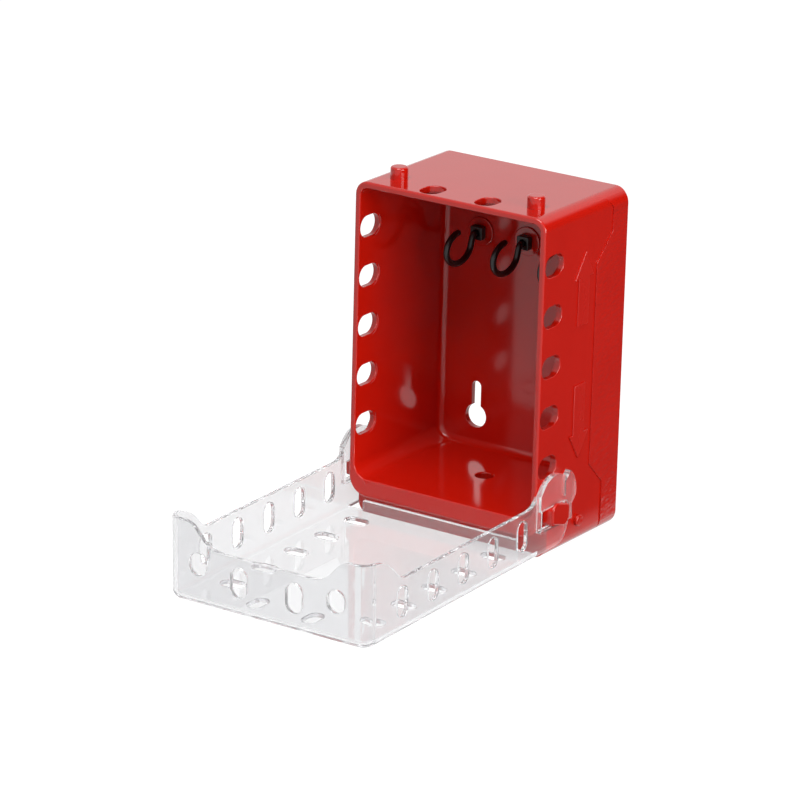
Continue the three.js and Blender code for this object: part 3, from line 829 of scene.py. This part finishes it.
meet = asin(KEYHOLE_NECK / KEYHOLE_RADIUS)
keyhole_outline = (arc(0, KEYHOLE_TOP - KEYHOLE_NECK, KEYHOLE_NECK, 0, pi, 2 * ARC_STEPS)
                   + arc(0, KEYHOLE_HEIGHT, KEYHOLE_RADIUS, QUARTER + meet, 5 * QUARTER - meet,
                         5 * ARC_STEPS))
keyhole = prism("keyholes", "y", keyhole_outline, CAVITY_REAR, CASE_DEPTH, -KEYHOLE_ROUND,
                -KEYHOLE_ROUND)
keyholes = hole_grid(keyhole, 2, 1, 2 * KEYHOLE_OFFSET, 0, (0, 0, 0))
drain_top = FLOOR_TOP + DRAFT * DRAIN_FROM_FRONT / CAVITY_REAR
drain = prism("drain", "z", circle(0, DRAIN_FROM_FRONT, DRAIN_RADIUS), FLOOR_UNDER, drain_top,
              -KEYHOLE_ROUND, -DRAIN_ROUND)
combine(case, "DIFFERENCE", side_slots, top_slots, keyholes, drain)
print("case with holes:", len(case.data.polygons), "faces")

# %% [markdown]
# ## The case: pegs, studs and bosses
# Two pegs on the top hold the shut cover. Low on each side wall a small stud catches the cover's
# spring finger, and a stub carries the hinge block. Three flat bosses inside take the key hooks.
# They could be pulled out of the walls' own faces, but those have no circles in them. So all are
# round prisms that start inside a wall, which joins each to it without a seam.

# %% Pegs, studs, stubs and bosses
PEG_OFFSET = 37.5
PEG_FROM_FRONT = 14.3
PEG_RADIUS = 4.15
PEG_HEIGHT = 6
PEG_ROUND = 1.1
HINGE_Y = 13
HINGE_Z = 22.6
STUB_RADIUS = 2.7
STUB_REACH = 3.5
STUB_ROUND = 0.3
STUD_Y = 36
STUD_Z = 12
STUD_RADIUS = 2.8
STUD_REACH = 2
STUD_ROUND = 0.9
HOOK_OFFSETS = (-1, 0, 1)
HOOK_SPACING = 26
HOOK_HEIGHT = 129.7
BOSS_PROUD = 1
BOSS_FACE = CAVITY_REAR - BOSS_PROUD
BOSS_RADIUS = 7
BOSS_ROUND = 0.4

bosses = []
for side in (-1, 1):
    bosses.append(prism("peg", "z", circle(side * PEG_OFFSET, PEG_FROM_FRONT, PEG_RADIUS),
                        CASE_HEIGHT - WALL / 2, CASE_HEIGHT + PEG_HEIGHT, 0, PEG_ROUND))
    bosses.append(on_side(side, "stud", circle(STUD_Y, STUD_Z, STUD_RADIUS),
                          CASE_HALF - WALL / 2, CASE_HALF + STUD_REACH, 0, STUD_ROUND))
    bosses.append(on_side(side, "stub", circle(HINGE_Y, HINGE_Z, STUB_RADIUS),
                          CASE_HALF - WALL / 2, CASE_HALF + STUB_REACH, 0, STUB_ROUND))
for offset in HOOK_OFFSETS:
    bosses.append(prism("boss", "y", circle(offset * HOOK_SPACING, HOOK_HEIGHT, BOSS_RADIUS),
                        BOSS_FACE, CAVITY_REAR + WALL / 2, BOSS_ROUND, 0))
combine(case, "UNION", *bosses)
print("case with bosses:", len(case.data.polygons), "faces")

# %% Screw holes
CLEARANCE = 0.3
WIRE_RADIUS = 1.5
SCREW_DEPTH = 2.4

screw_hole = prism("screw_holes", "y", circle(0, HOOK_HEIGHT, WIRE_RADIUS + CLEARANCE),
                   BOSS_FACE - OVERRUN, BOSS_FACE + SCREW_DEPTH + CLEARANCE)
screw_holes = hole_grid(screw_hole, len(HOOK_OFFSETS), 1, HOOK_SPACING, 0, (0, 0, 0))
combine(case, "DIFFERENCE", screw_holes)
print("case with screw holes:", len(case.data.polygons), "faces")

# %% [markdown]
# ## Putting a piece in its place
# The outlines are in millimetres, measured from the case's front rim. The CAD box of the case says
# where that rim is in the frame, so one matrix takes a piece there. The object could be moved and
# scaled instead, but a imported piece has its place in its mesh, so the matrix goes into the mesh.
# Shading is smooth across small turns and sharp across large ones, and weighted normals keep the
# flat faces flat to their edges.

# %% Finish and place
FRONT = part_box("case")[0][1]
SHARP_TURN = 38
NORMAL_WEIGHT = 80
case_place = Matrix.Translation((0, FRONT, 0)) @ Matrix.Scale(MM, 4)


def finish_piece(piece, material, place, sharp=SHARP_TURN):
    """Paints a piece, shades it, and moves its mesh to its place in the frame."""
    mesh = piece.data
    mesh.transform(place)
    mesh.materials.clear()
    mesh.materials.append(material)
    mesh.polygons.foreach_set("use_smooth", [True] * len(mesh.polygons))
    mesh.set_sharp_from_angle(angle=radians(sharp))
    normals = piece.modifiers.new("normals", "WEIGHTED_NORMAL")
    normals.keep_sharp = True
    normals.weight = NORMAL_WEIGHT
    settle(piece)
    print(piece.name, "triangles:", sum(len(face.vertices) - 2 for face in piece.data.polygons))


finish_piece(case, red_case, case_place)
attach(case, "case_body")
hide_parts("case")

# %% [markdown]
# ## Wire with Geometry Nodes
# The key hooks are bent wire: a round tube along a path. A curve with a bevel would do, but its
# tips are flat. This tree turns edges into a curve, runs a circle along it, and shrinks the radius
# near both ends like a quarter of a circle, which gives the wire the domed tips that dipping
# leaves.

# %% Tube along a path
# A little over 1, so that the radius never quite becomes nothing at a tip.
TIP = 1.002

tube_tree, tube_inputs, entry = new_tree("tube_along_a_path", radius="Float", step="Float",
                                         sides="Int", dome="Float", material="Material")
path = new_node(tube_tree, "GeometryNodeMeshToCurve")
link(tube_tree, entry, "Geometry", path, "Mesh")
even = new_node(tube_tree, "GeometryNodeResampleCurve", mode="LENGTH")
link(tube_tree, path, "Curve", even, "Curve")
link(tube_tree, entry, "Step", even, "Length")
along = (new_node(tube_tree, "GeometryNodeSplineParameter"), "Length")
total = (new_node(tube_tree, "GeometryNodeSplineLength"), "Length")
nearest = maths(tube_tree, "MINIMUM", along, maths(tube_tree, "SUBTRACT", total, along))
into = ranged(tube_tree, nearest, 0, 1, 1, 0)
link(tube_tree, entry, "Dome", into[0], "From Max")
fall = maths(tube_tree, "SUBTRACT", TIP, maths(tube_tree, "POWER", into, 2))
thick = maths(tube_tree, "MULTIPLY", maths(tube_tree, "SQRT", fall), (entry, "Radius"))
sized = new_node(tube_tree, "GeometryNodeSetCurveRadius")
link(tube_tree, even, "Curve", sized, "Curve")
link(tube_tree, *thick, sized, "Radius")
print("radius shrinks to", round((TIP - 1) ** 0.5, 3), "of the wire's at its tips")

# %% Circle along the path
ring = new_node(tube_tree, "GeometryNodeCurvePrimitiveCircle")
ring.inputs["Radius"].default_value = 1
link(tube_tree, entry, "Sides", ring, "Resolution")
tube = new_node(tube_tree, "GeometryNodeCurveToMesh")
tube.inputs["Fill Caps"].default_value = True
link(tube_tree, sized, "Curve", tube, "Curve")
link(tube_tree, ring, "Curve", tube, "Profile Curve")
link(tube_tree, new_node(tube_tree, "GeometryNodeInputRadius"), "Radius", tube, "Scale")
end_tree(tube_tree, entry, (tube, "Mesh"))


def tube_along(name, points, **values):
    mesh = bpy.data.meshes.new(name)
    mesh.from_pydata(points, [(k, k + 1) for k in range(len(points) - 1)], [])
    piece = bpy.data.objects.new(name, mesh)
    scene.collection.objects.link(piece)
    return run_tree(piece, tube_tree, tube_inputs, **values)


print("tree", tube_tree.name, "with", len(tube_inputs), "named inputs")

# %% [markdown]
# ## The key hooks
# A hook's bend is most of an ellipse. From its lower rear it turns up in a short neck to the screw
# line, and its plain end sits in the boss. The path is worked out point by point, because an
# ellipse and one smooth curve say more plainly than hand-set handles how the wire was bent.

# %% Hook path
BEND_LENGTH = 10.3
BEND_HEIGHT = 7.5
BEND_FROM = radians(88)
BEND_TO = radians(345)
BEND_STEPS = 60
BEND_FORWARD = 18
BEND_BELOW = 3.7
BEND_Y = BOSS_FACE - BEND_FORWARD
BEND_Z = HOOK_HEIGHT - BEND_BELOW
COLLAR_THICK = 3.5
NECK_STRAIGHT = 1.4
NECK_Y = BOSS_FACE - CLEARANCE - COLLAR_THICK - NECK_STRAIGHT
NECK_LEAD = 2.6
NECK_STEPS = 10

turns = [BEND_FROM + (BEND_TO - BEND_FROM) * k / BEND_STEPS for k in range(BEND_STEPS + 1)]
bend = [(BEND_Y + BEND_LENGTH * cos(turn), BEND_Z + BEND_HEIGHT * sin(turn)) for turn in turns]
heading = Vector((-BEND_LENGTH * sin(BEND_TO), BEND_HEIGHT * cos(BEND_TO))).normalized()
leave_point = tuple(Vector(bend[-1]) + heading * NECK_LEAD)
neck = curve(bend[-1], leave_point, (NECK_Y - NECK_LEAD / 2, HOOK_HEIGHT), (NECK_Y, HOOK_HEIGHT),
             NECK_STEPS)
hook_path = bend + neck + [(BOSS_FACE + SCREW_DEPTH, HOOK_HEIGHT)]
print("hook path:", len(hook_path), "points")

# %% Key hooks
WIRE_STEP = 0.3
WIRE_SIDES = 24
WIRE_SHARP = 60

for number, offset in enumerate(HOOK_OFFSETS, start=1):
    x = offset * HOOK_SPACING
    hook = tube_along(f"hook_wire_{number}", [(x, y, z) for y, z in hook_path], radius=WIRE_RADIUS,
                      step=WIRE_STEP, sides=WIRE_SIDES, dome=WIRE_RADIUS, material=black_vinyl)
    finish_piece(hook, black_vinyl, case_place, WIRE_SHARP)
    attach(hook, "case_body")
    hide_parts(f"key_hook_{number}")

# %% [markdown]
# ## The hooks' collars
# A square collar lies between each hook and its boss and covers the hole. A bevelled cube would
# come near it, but a prism can have another round at each end, so it is a short prism with a bore.
# It stays a separate piece, because it is one on the real box.

# %% Hook collars
COLLAR_HALF = 3.3
COLLAR_CORNER = 0.9
COLLAR_ROUND = 0.5
BORE_ROUND = 0.25
collar_front = BOSS_FACE - CLEARANCE - COLLAR_THICK
collar_rear = BOSS_FACE - CLEARANCE

for number, offset in enumerate(HOOK_OFFSETS, start=1):
    x = offset * HOOK_SPACING
    outline = rounded(x - COLLAR_HALF, x + COLLAR_HALF, HOOK_HEIGHT - COLLAR_HALF,
                      HOOK_HEIGHT + COLLAR_HALF, COLLAR_CORNER, COLLAR_CORNER)
    collar = prism(f"collar_{number}", "y", outline, collar_front, collar_rear, COLLAR_ROUND,
                   CLEARANCE)
    bore = prism("bore", "y", circle(x, HOOK_HEIGHT, WIRE_RADIUS + CLEARANCE), collar_front,
                 collar_rear, -BORE_ROUND, -BORE_ROUND)
    combine(collar, "DIFFERENCE", bore)
    finish_piece(collar, black_collar, case_place)
    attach(collar, "case_body")
    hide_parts(f"hook_collar_{number}")

# %% [markdown]
# ## Arrows on the side walls
# On each side wall two arrows point to the ends of the box. Each is moulded as a thin raised plate
# with rounded edges, set a little into the wall. As pieces of their own they can be less glossy
# than the wall, which makes them easier to see.

# %% Arrows
ARROW_PROUD = 0.8
UP_ARROW = [(34.6, 142.6), (26.1, 130.4), (29.2, 130.4), (29.2, 107.7), (38.2, 107.7),
            (38.2, 130.4), (41.6, 130.4)]
DOWN_ARROW = [(33.8, 43.1), (41.9, 55.3), (37.9, 55.3), (37.9, 79), (28.7, 79), (28.7, 55.3),
              (25.8, 55.3)]

for side, wall_name in ((-1, "left"), (1, "right")):
    for arrow_name, arrow in (("up", UP_ARROW), ("down", DOWN_ARROW)):
        plate = on_side(side, f"arrow_{arrow_name}_{wall_name}", arrow, CASE_HALF - ARROW_PROUD,
                        CASE_HALF + ARROW_PROUD, 0, ARROW_PROUD / 2)
        finish_piece(plate, red_matt, case_place)
        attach(plate, "case_body")

# %% [markdown]
# ## The hinge blocks
# A block turns with the cover on each stub. It is longer than the window is high, so it can't turn
# inside the window: the cover slides along it. Its head, outside the ear, keeps it in place. Body
# and head are two prisms, joined, and a bore takes the stub. The cover's sizes are set here
# already, because they say how far out the head is and how the open cover lies.

# %% Cover sizes
COVER_WALL = 2.2
COVER_CORNER = 7
COVER_ROUND = 4.2
COVER_REACH = 151.2
COVER_DROP = 18.6
COVER_GAP = 0.4
COVER_LIFT = 0.5
EAR_STEP = 0.8
EAR_THICK = 3
INNER_HALF = CASE_HALF + COVER_GAP
OUTER_HALF = INNER_HALF + COVER_WALL
EAR_INNER = INNER_HALF + EAR_STEP
EAR_OUTER = EAR_INNER + EAR_THICK

arm = COVER_REACH - COVER_ROUND
tilt = asin((HINGE_Z - COVER_LIFT) / hypot(arm, COVER_DROP)) - atan2(COVER_DROP, arm)
cover_place = (case_place @ Matrix.Translation((0, HINGE_Y, HINGE_Z))
               @ Matrix.Rotation(tilt, 4, "X"))
print(f"the open cover lies {degrees(tilt):.2f} degrees off level")

# %% Hinge blocks
BLOCK_LENGTH = 14.4
BLOCK_HEIGHT = 8.6
BLOCK_FRONT_CORNER = 1.6
BLOCK_REAR_CORNER = 4
BLOCK_ROUND = 0.3
HEAD = [(-6.9, -3.2), (3.2, -6.45), (6.9, -4.05), (6.9, 3.2), (-3.2, 6.45), (-6.9, 4.05)]
HEAD_THICK = 1.5
HEAD_CORNER = 1.5
HEAD_ROUND = 0.9


def softened(points, setback, steps=6):
    """A polygon with each corner rounded off, from this far before it."""
    outline = []
    for k, corner in enumerate(points):
        here, before, after = (Vector(point) for point in
                               (corner, points[k - 1], points[(k + 1) % len(points)]))
        start = here + (before - here).normalized() * setback
        end = here + (after - here).normalized() * setback
        outline += [tuple((1 - t) ** 2 * start + 2 * t * (1 - t) * here + t * t * end)
                    for t in (step / steps for step in range(steps + 1))]
    return outline


block_outline = rounded(-BLOCK_LENGTH / 2, BLOCK_LENGTH / 2, -BLOCK_HEIGHT / 2, BLOCK_HEIGHT / 2,
                        BLOCK_REAR_CORNER, BLOCK_REAR_CORNER,
                        BLOCK_FRONT_CORNER, BLOCK_FRONT_CORNER)
head_inner = EAR_OUTER + CLEARANCE
for side, wall_name in ((-1, "left"), (1, "right")):
    piece = on_side(side, f"block_{wall_name}", block_outline, CASE_HALF + CLEARANCE,
                    head_inner + HEAD_THICK / 2, BLOCK_ROUND)
    combine(piece, "UNION", on_side(side, "head", softened(HEAD, HEAD_CORNER), head_inner,
                                    head_inner + HEAD_THICK, BLOCK_ROUND, HEAD_ROUND))
    combine(piece, "DIFFERENCE", on_side(side, "bore", circle(0, 0, STUB_RADIUS + CLEARANCE),
                                         CASE_HALF, CASE_HALF + STUB_REACH + CLEARANCE))
    finish_piece(piece, red_plastic, cover_place)
    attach(piece, "hinge_blocks")
    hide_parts(f"hinge_block_{wall_name}")

# %% [markdown]
# ## The cover's outlines
# The cover's walls end in an edge that is level along the tray, rises to a horn at the far corners
# and swells to an ear at the hinge. A spring finger, set off by a narrow slit, is part of the ear.
# Seen from the side all of that is one outline, so it is drawn once, from arcs and smooth curves. A
# second outline, seen from the end, shapes the far wall between its two horns. The points of the
# ear and the leads of the horns' curves are shares of their sizes.

# %% Side outline
SIDE_RISE = 7.5
HORN_RISE = 20.8
HORN_LENGTH = 30.4
EAR = 21.2
EAR_START = -24.5
EAR_FOOT = -3
SLIT = 1
SLIT_BOTTOM = 7.2
SLIT_STEPS = 8
LOBE_STEPS = 10
# Both leads two thirds of the way to one point make the plainest curve between two ends.
LEAD_SHARE = 2 / 3


def on_ear(along, rise):
    return along * EAR, rise * EAR


def toward(start, end, share):
    return tuple(a + share * (b - a) for a, b in zip(start, end))


slit_front = on_ear(0.231, 0.7)
slit_rear = slit_front[0] + SLIT
nose = on_ear(0.335, 0.708)
crest = on_ear(-0.104, 0.92)
lobe = on_ear(0.236, 0.82)
lobe_lead = on_ear(0.094, 0.92)
foot_end = (EAR_FOOT, -COVER_DROP)
back = on_ear(0.693, 0.236)
low = -COVER_DROP - OVERRUN
beyond = -COVER_REACH - OVERRUN
horn_foot = (HORN_LENGTH - COVER_REACH, SIDE_RISE)
horn_leads = [(share * HORN_LENGTH - COVER_REACH, SIDE_RISE + rise * (HORN_RISE - SIDE_RISE))
              for share, rise in ((0.65, 0.02), (0.71, 1.13))]

side_view = [(beyond, low), (foot_end[0], low), foot_end]
side_view += curve(foot_end, on_ear(0.42, -0.877), on_ear(0.6, -0.35), on_ear(0.538, 0.075))
side_view += [back]
side_view += curve(back, on_ear(0.75, 0.49), on_ear(0.632, 0.764), on_ear(0.462, 0.863))
side_view += [nose, (slit_rear, nose[1] - SLIT)]
side_view += arc(slit_rear - SLIT / 2, SLIT_BOTTOM, SLIT / 2, 0, -pi, SLIT_STEPS)
side_view += [slit_front, lobe]
side_view += curve(lobe, toward(lobe, lobe_lead, LEAD_SHARE), toward(crest, lobe_lead, LEAD_SHARE),
                   crest, LOBE_STEPS)
side_view += curve(crest, on_ear(-0.756, 0.914), on_ear(-0.546, 0.351), (EAR_START, SIDE_RISE))
side_view += [horn_foot]
side_view += curve(horn_foot, *horn_leads, (-COVER_REACH, HORN_RISE))
side_view += [(beyond, HORN_RISE)]
print("side view:", len(side_view), "points")

# %% End outline
END_RISE = 9.2
HORN_START = 22.2
HORN_END = 46.8

run, rise = HORN_END - HORN_START, HORN_RISE - END_RISE
high = (HORN_END - 0.47 * run, END_RISE + 1.12 * rise)
flat = (HORN_START + 0.67 * run, END_RISE)
half_view = [(HORN_START, END_RISE)]
half_view += curve(half_view[0], flat, high, (HORN_END, HORN_RISE))
half_view += [(HORN_END, HORN_RISE + OVERRUN)]
end_view = [(-x, z) for x, z in half_view[::-1]] + half_view
print("end view:", len(end_view), "points")

# %% [markdown]
# ## The cover's tray
# The tray is one clear moulding with walls of even thickness. A Solidify modifier would give it
# walls too, but not the sharp inner and soft outer edges of a real one. So it is the difference of
# two tubs, each with its own rounds. The outlines then keep the walls only where the real ones
# stand.

# %% Cover shell
INNER_DROP = COVER_DROP - COVER_WALL
INNER_REACH = COVER_REACH - COVER_WALL
INNER_CORNER = 4.8
INNER_ROUND = 2
LIP_REAR = HINGE_Y + COVER_GAP

open_end = 2 * EAR + COVER_CORNER
tray = prism("cover_tray_clear", "z",
             rounded(-OUTER_HALF, OUTER_HALF, -COVER_REACH, open_end, COVER_CORNER, COVER_CORNER),
             -COVER_DROP, HORN_RISE + 3 * OVERRUN, COVER_ROUND, 0)
inner_tub = prism("inner_tub", "z",
                  rounded(-INNER_HALF, INNER_HALF, -INNER_REACH, open_end, INNER_CORNER,
                          INNER_CORNER),
                  -INNER_DROP, HORN_RISE + 4 * OVERRUN, INNER_ROUND, 0)
combine(tray, "DIFFERENCE", inner_tub)
wide = EAR_OUTER + OVERRUN
combine(tray, "INTERSECT", prism("side_view", "x", side_view, -wide, wide))
combine(tray, "DIFFERENCE",
        prism("end_view", "y", end_view, beyond, -INNER_REACH + INNER_CORNER),
        block("hinge_end", -INNER_HALF, INNER_HALF, -LIP_REAR, 2 * EAR, low, 0))
print("tray walls:", len(tray.data.polygons), "faces")

# %% [markdown]
# ## The cover's lip and ears
# At the hinge the floor ends in a low lip, which fits under the case's front. The ears stand a step
# further out than the walls, to clear the block. The wall could be bent outwards there, but the
# real one steps. Where they begin, the wall is cut away and a plate of the same outline takes its
# place. At the end small faces are merged and all edges are rounded.

# %% Cover lip and ears
LIP_THICK = 2.2
LIP_GAP = 0.6
SLIDE = 6.2
WINDOW_HALF = BLOCK_HEIGHT / 2 + CLEARANCE
WINDOW_REAR = BLOCK_LENGTH / 2 + CLEARANCE
WINDOW_FRONT = WINDOW_REAR + SLIDE
EAR_BORDER = 1.1

lip_half = CASE_HALF - SLAB_CORNER
lip = block("lip", -lip_half, lip_half, -LIP_REAR - LIP_THICK, -LIP_REAR,
            -INNER_DROP - COVER_WALL / 2, SLAB_BOTTOM - LIP_GAP - HINGE_Z)
combine(tray, "UNION", lip)


def ear_region(half_width):
    return block("ear_region", -half_width, half_width, -WINDOW_FRONT - EAR_BORDER,
                 EAR + OVERRUN, -WINDOW_HALF - EAR_BORDER, EAR + OVERRUN)


combine(tray, "DIFFERENCE", ear_region(EAR_INNER))
for side in (-1, 1):
    plate = on_side(side, "ear_plate", side_view, (EAR_INNER + OUTER_HALF) / 2, EAR_OUTER)
    combine(plate, "INTERSECT", ear_region(wide))
    combine(tray, "UNION", plate)
print("tray with ears:", len(tray.data.polygons), "faces")

# %% Rounded cover edges
CLOSE = 0.02
FLAT_TURN = radians(0.5)
COVER_EDGE = 0.5
COVER_EDGE_STEPS = 3

clean = bmesh.new()
clean.from_mesh(tray.data)
bmesh.ops.remove_doubles(clean, verts=clean.verts, dist=CLOSE)
bmesh.ops.dissolve_limit(clean, angle_limit=FLAT_TURN, verts=clean.verts, edges=clean.edges)
clean.to_mesh(tray.data)
clean.free()
bevel(tray, COVER_EDGE, COVER_EDGE_STEPS)
print("rounded tray:", len(tray.data.polygons), "faces")

# %% [markdown]
# ## The cover's holes
# The rows in the cover's walls line up with the case's slots when it is shut and slid down. More
# slots are in its floor and its far wall, and two holes take the pegs. Holes in clear plastic are
# seen by their edges alone, so the cutters' flares are wide enough to catch light. The windows are
# cut last, through the ears.

# %% Cover holes
FLARE = 0.5
FLOOR_ROW_SPACING = 75
PEG_SPACING = 2 * PEG_OFFSET
FAR_SLOT_INSET = 16
ROW_LOWER = 1.5
ROW_MIDDLE = ROW_LOWER + HINGE_Z - SLOT_MIDDLE - SLIDE
ROW_Z = -3.3
END_SLOT_Z = -2.5
PEG_HOLE_Z = 1.3
WALL_SLOT, FLOOR_SLOT, FAR_SLOT = (7.2, 14.5), (12, 7), (7, 12)
END_SLOT, PEG_HOLE = (8.5, 14), (9.2, 10.6)
through_wall = ("x", -COVER_WALL / 2, COVER_WALL / 2)
through_floor = ("z", -COVER_DROP, -INNER_DROP)
through_end = ("y", -COVER_REACH, -INNER_REACH)


def cover_holes(name, through, outline, rows, spacing, centre=(0, 0, 0)):
    """A grid of flared cutters, two columns wide, that go right through one wall of the cover."""
    axis, start, end = through
    cutter = prism(name, axis, outline, start, end, -FLARE, -FLARE)
    return hole_grid(cutter, 2, rows, spacing, SLOT_PITCH, centre, material=clear_plastic)


holes = [
    cover_holes("wall_slots", through_wall, obround(0, 0, *WALL_SLOT), SLOT_ROWS,
                2 * OUTER_HALF - COVER_WALL, (0, ROW_MIDDLE, ROW_Z)),
    cover_holes("floor_slots", through_floor, obround(0, 0, *FLOOR_SLOT), SLOT_ROWS,
                FLOOR_ROW_SPACING, (0, ROW_MIDDLE, 0)),
    cover_holes("end_slots", through_end, obround(0, END_SLOT_Z, *END_SLOT), 1, TOP_SLOT_SPACING),
    cover_holes("peg_holes", through_end, obround(0, PEG_HOLE_Z, *PEG_HOLE), 1, PEG_SPACING),
    cover_holes("far_slots", through_floor, obround(0, FAR_SLOT_INSET - COVER_REACH, *FAR_SLOT), 1,
                TOP_SLOT_SPACING),
]
print("cover cutters:", sum(len(hole.data.polygons) for hole in holes), "faces")

# %% Windows
WINDOW_CORNER = 0.9
WINDOW_FLARE = 0.35

window = rounded(-WINDOW_FRONT, WINDOW_REAR, -WINDOW_HALF, WINDOW_HALF, WINDOW_CORNER,
                 WINDOW_CORNER)
for side in (-1, 1):
    holes.append(on_side(side, "window", window, EAR_INNER, EAR_OUTER, -WINDOW_FLARE,
                         -WINDOW_FLARE))
combine(tray, "DIFFERENCE", *holes)
finish_piece(tray, clear_plastic, cover_place)
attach(tray, "cover_tray")
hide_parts("cover")
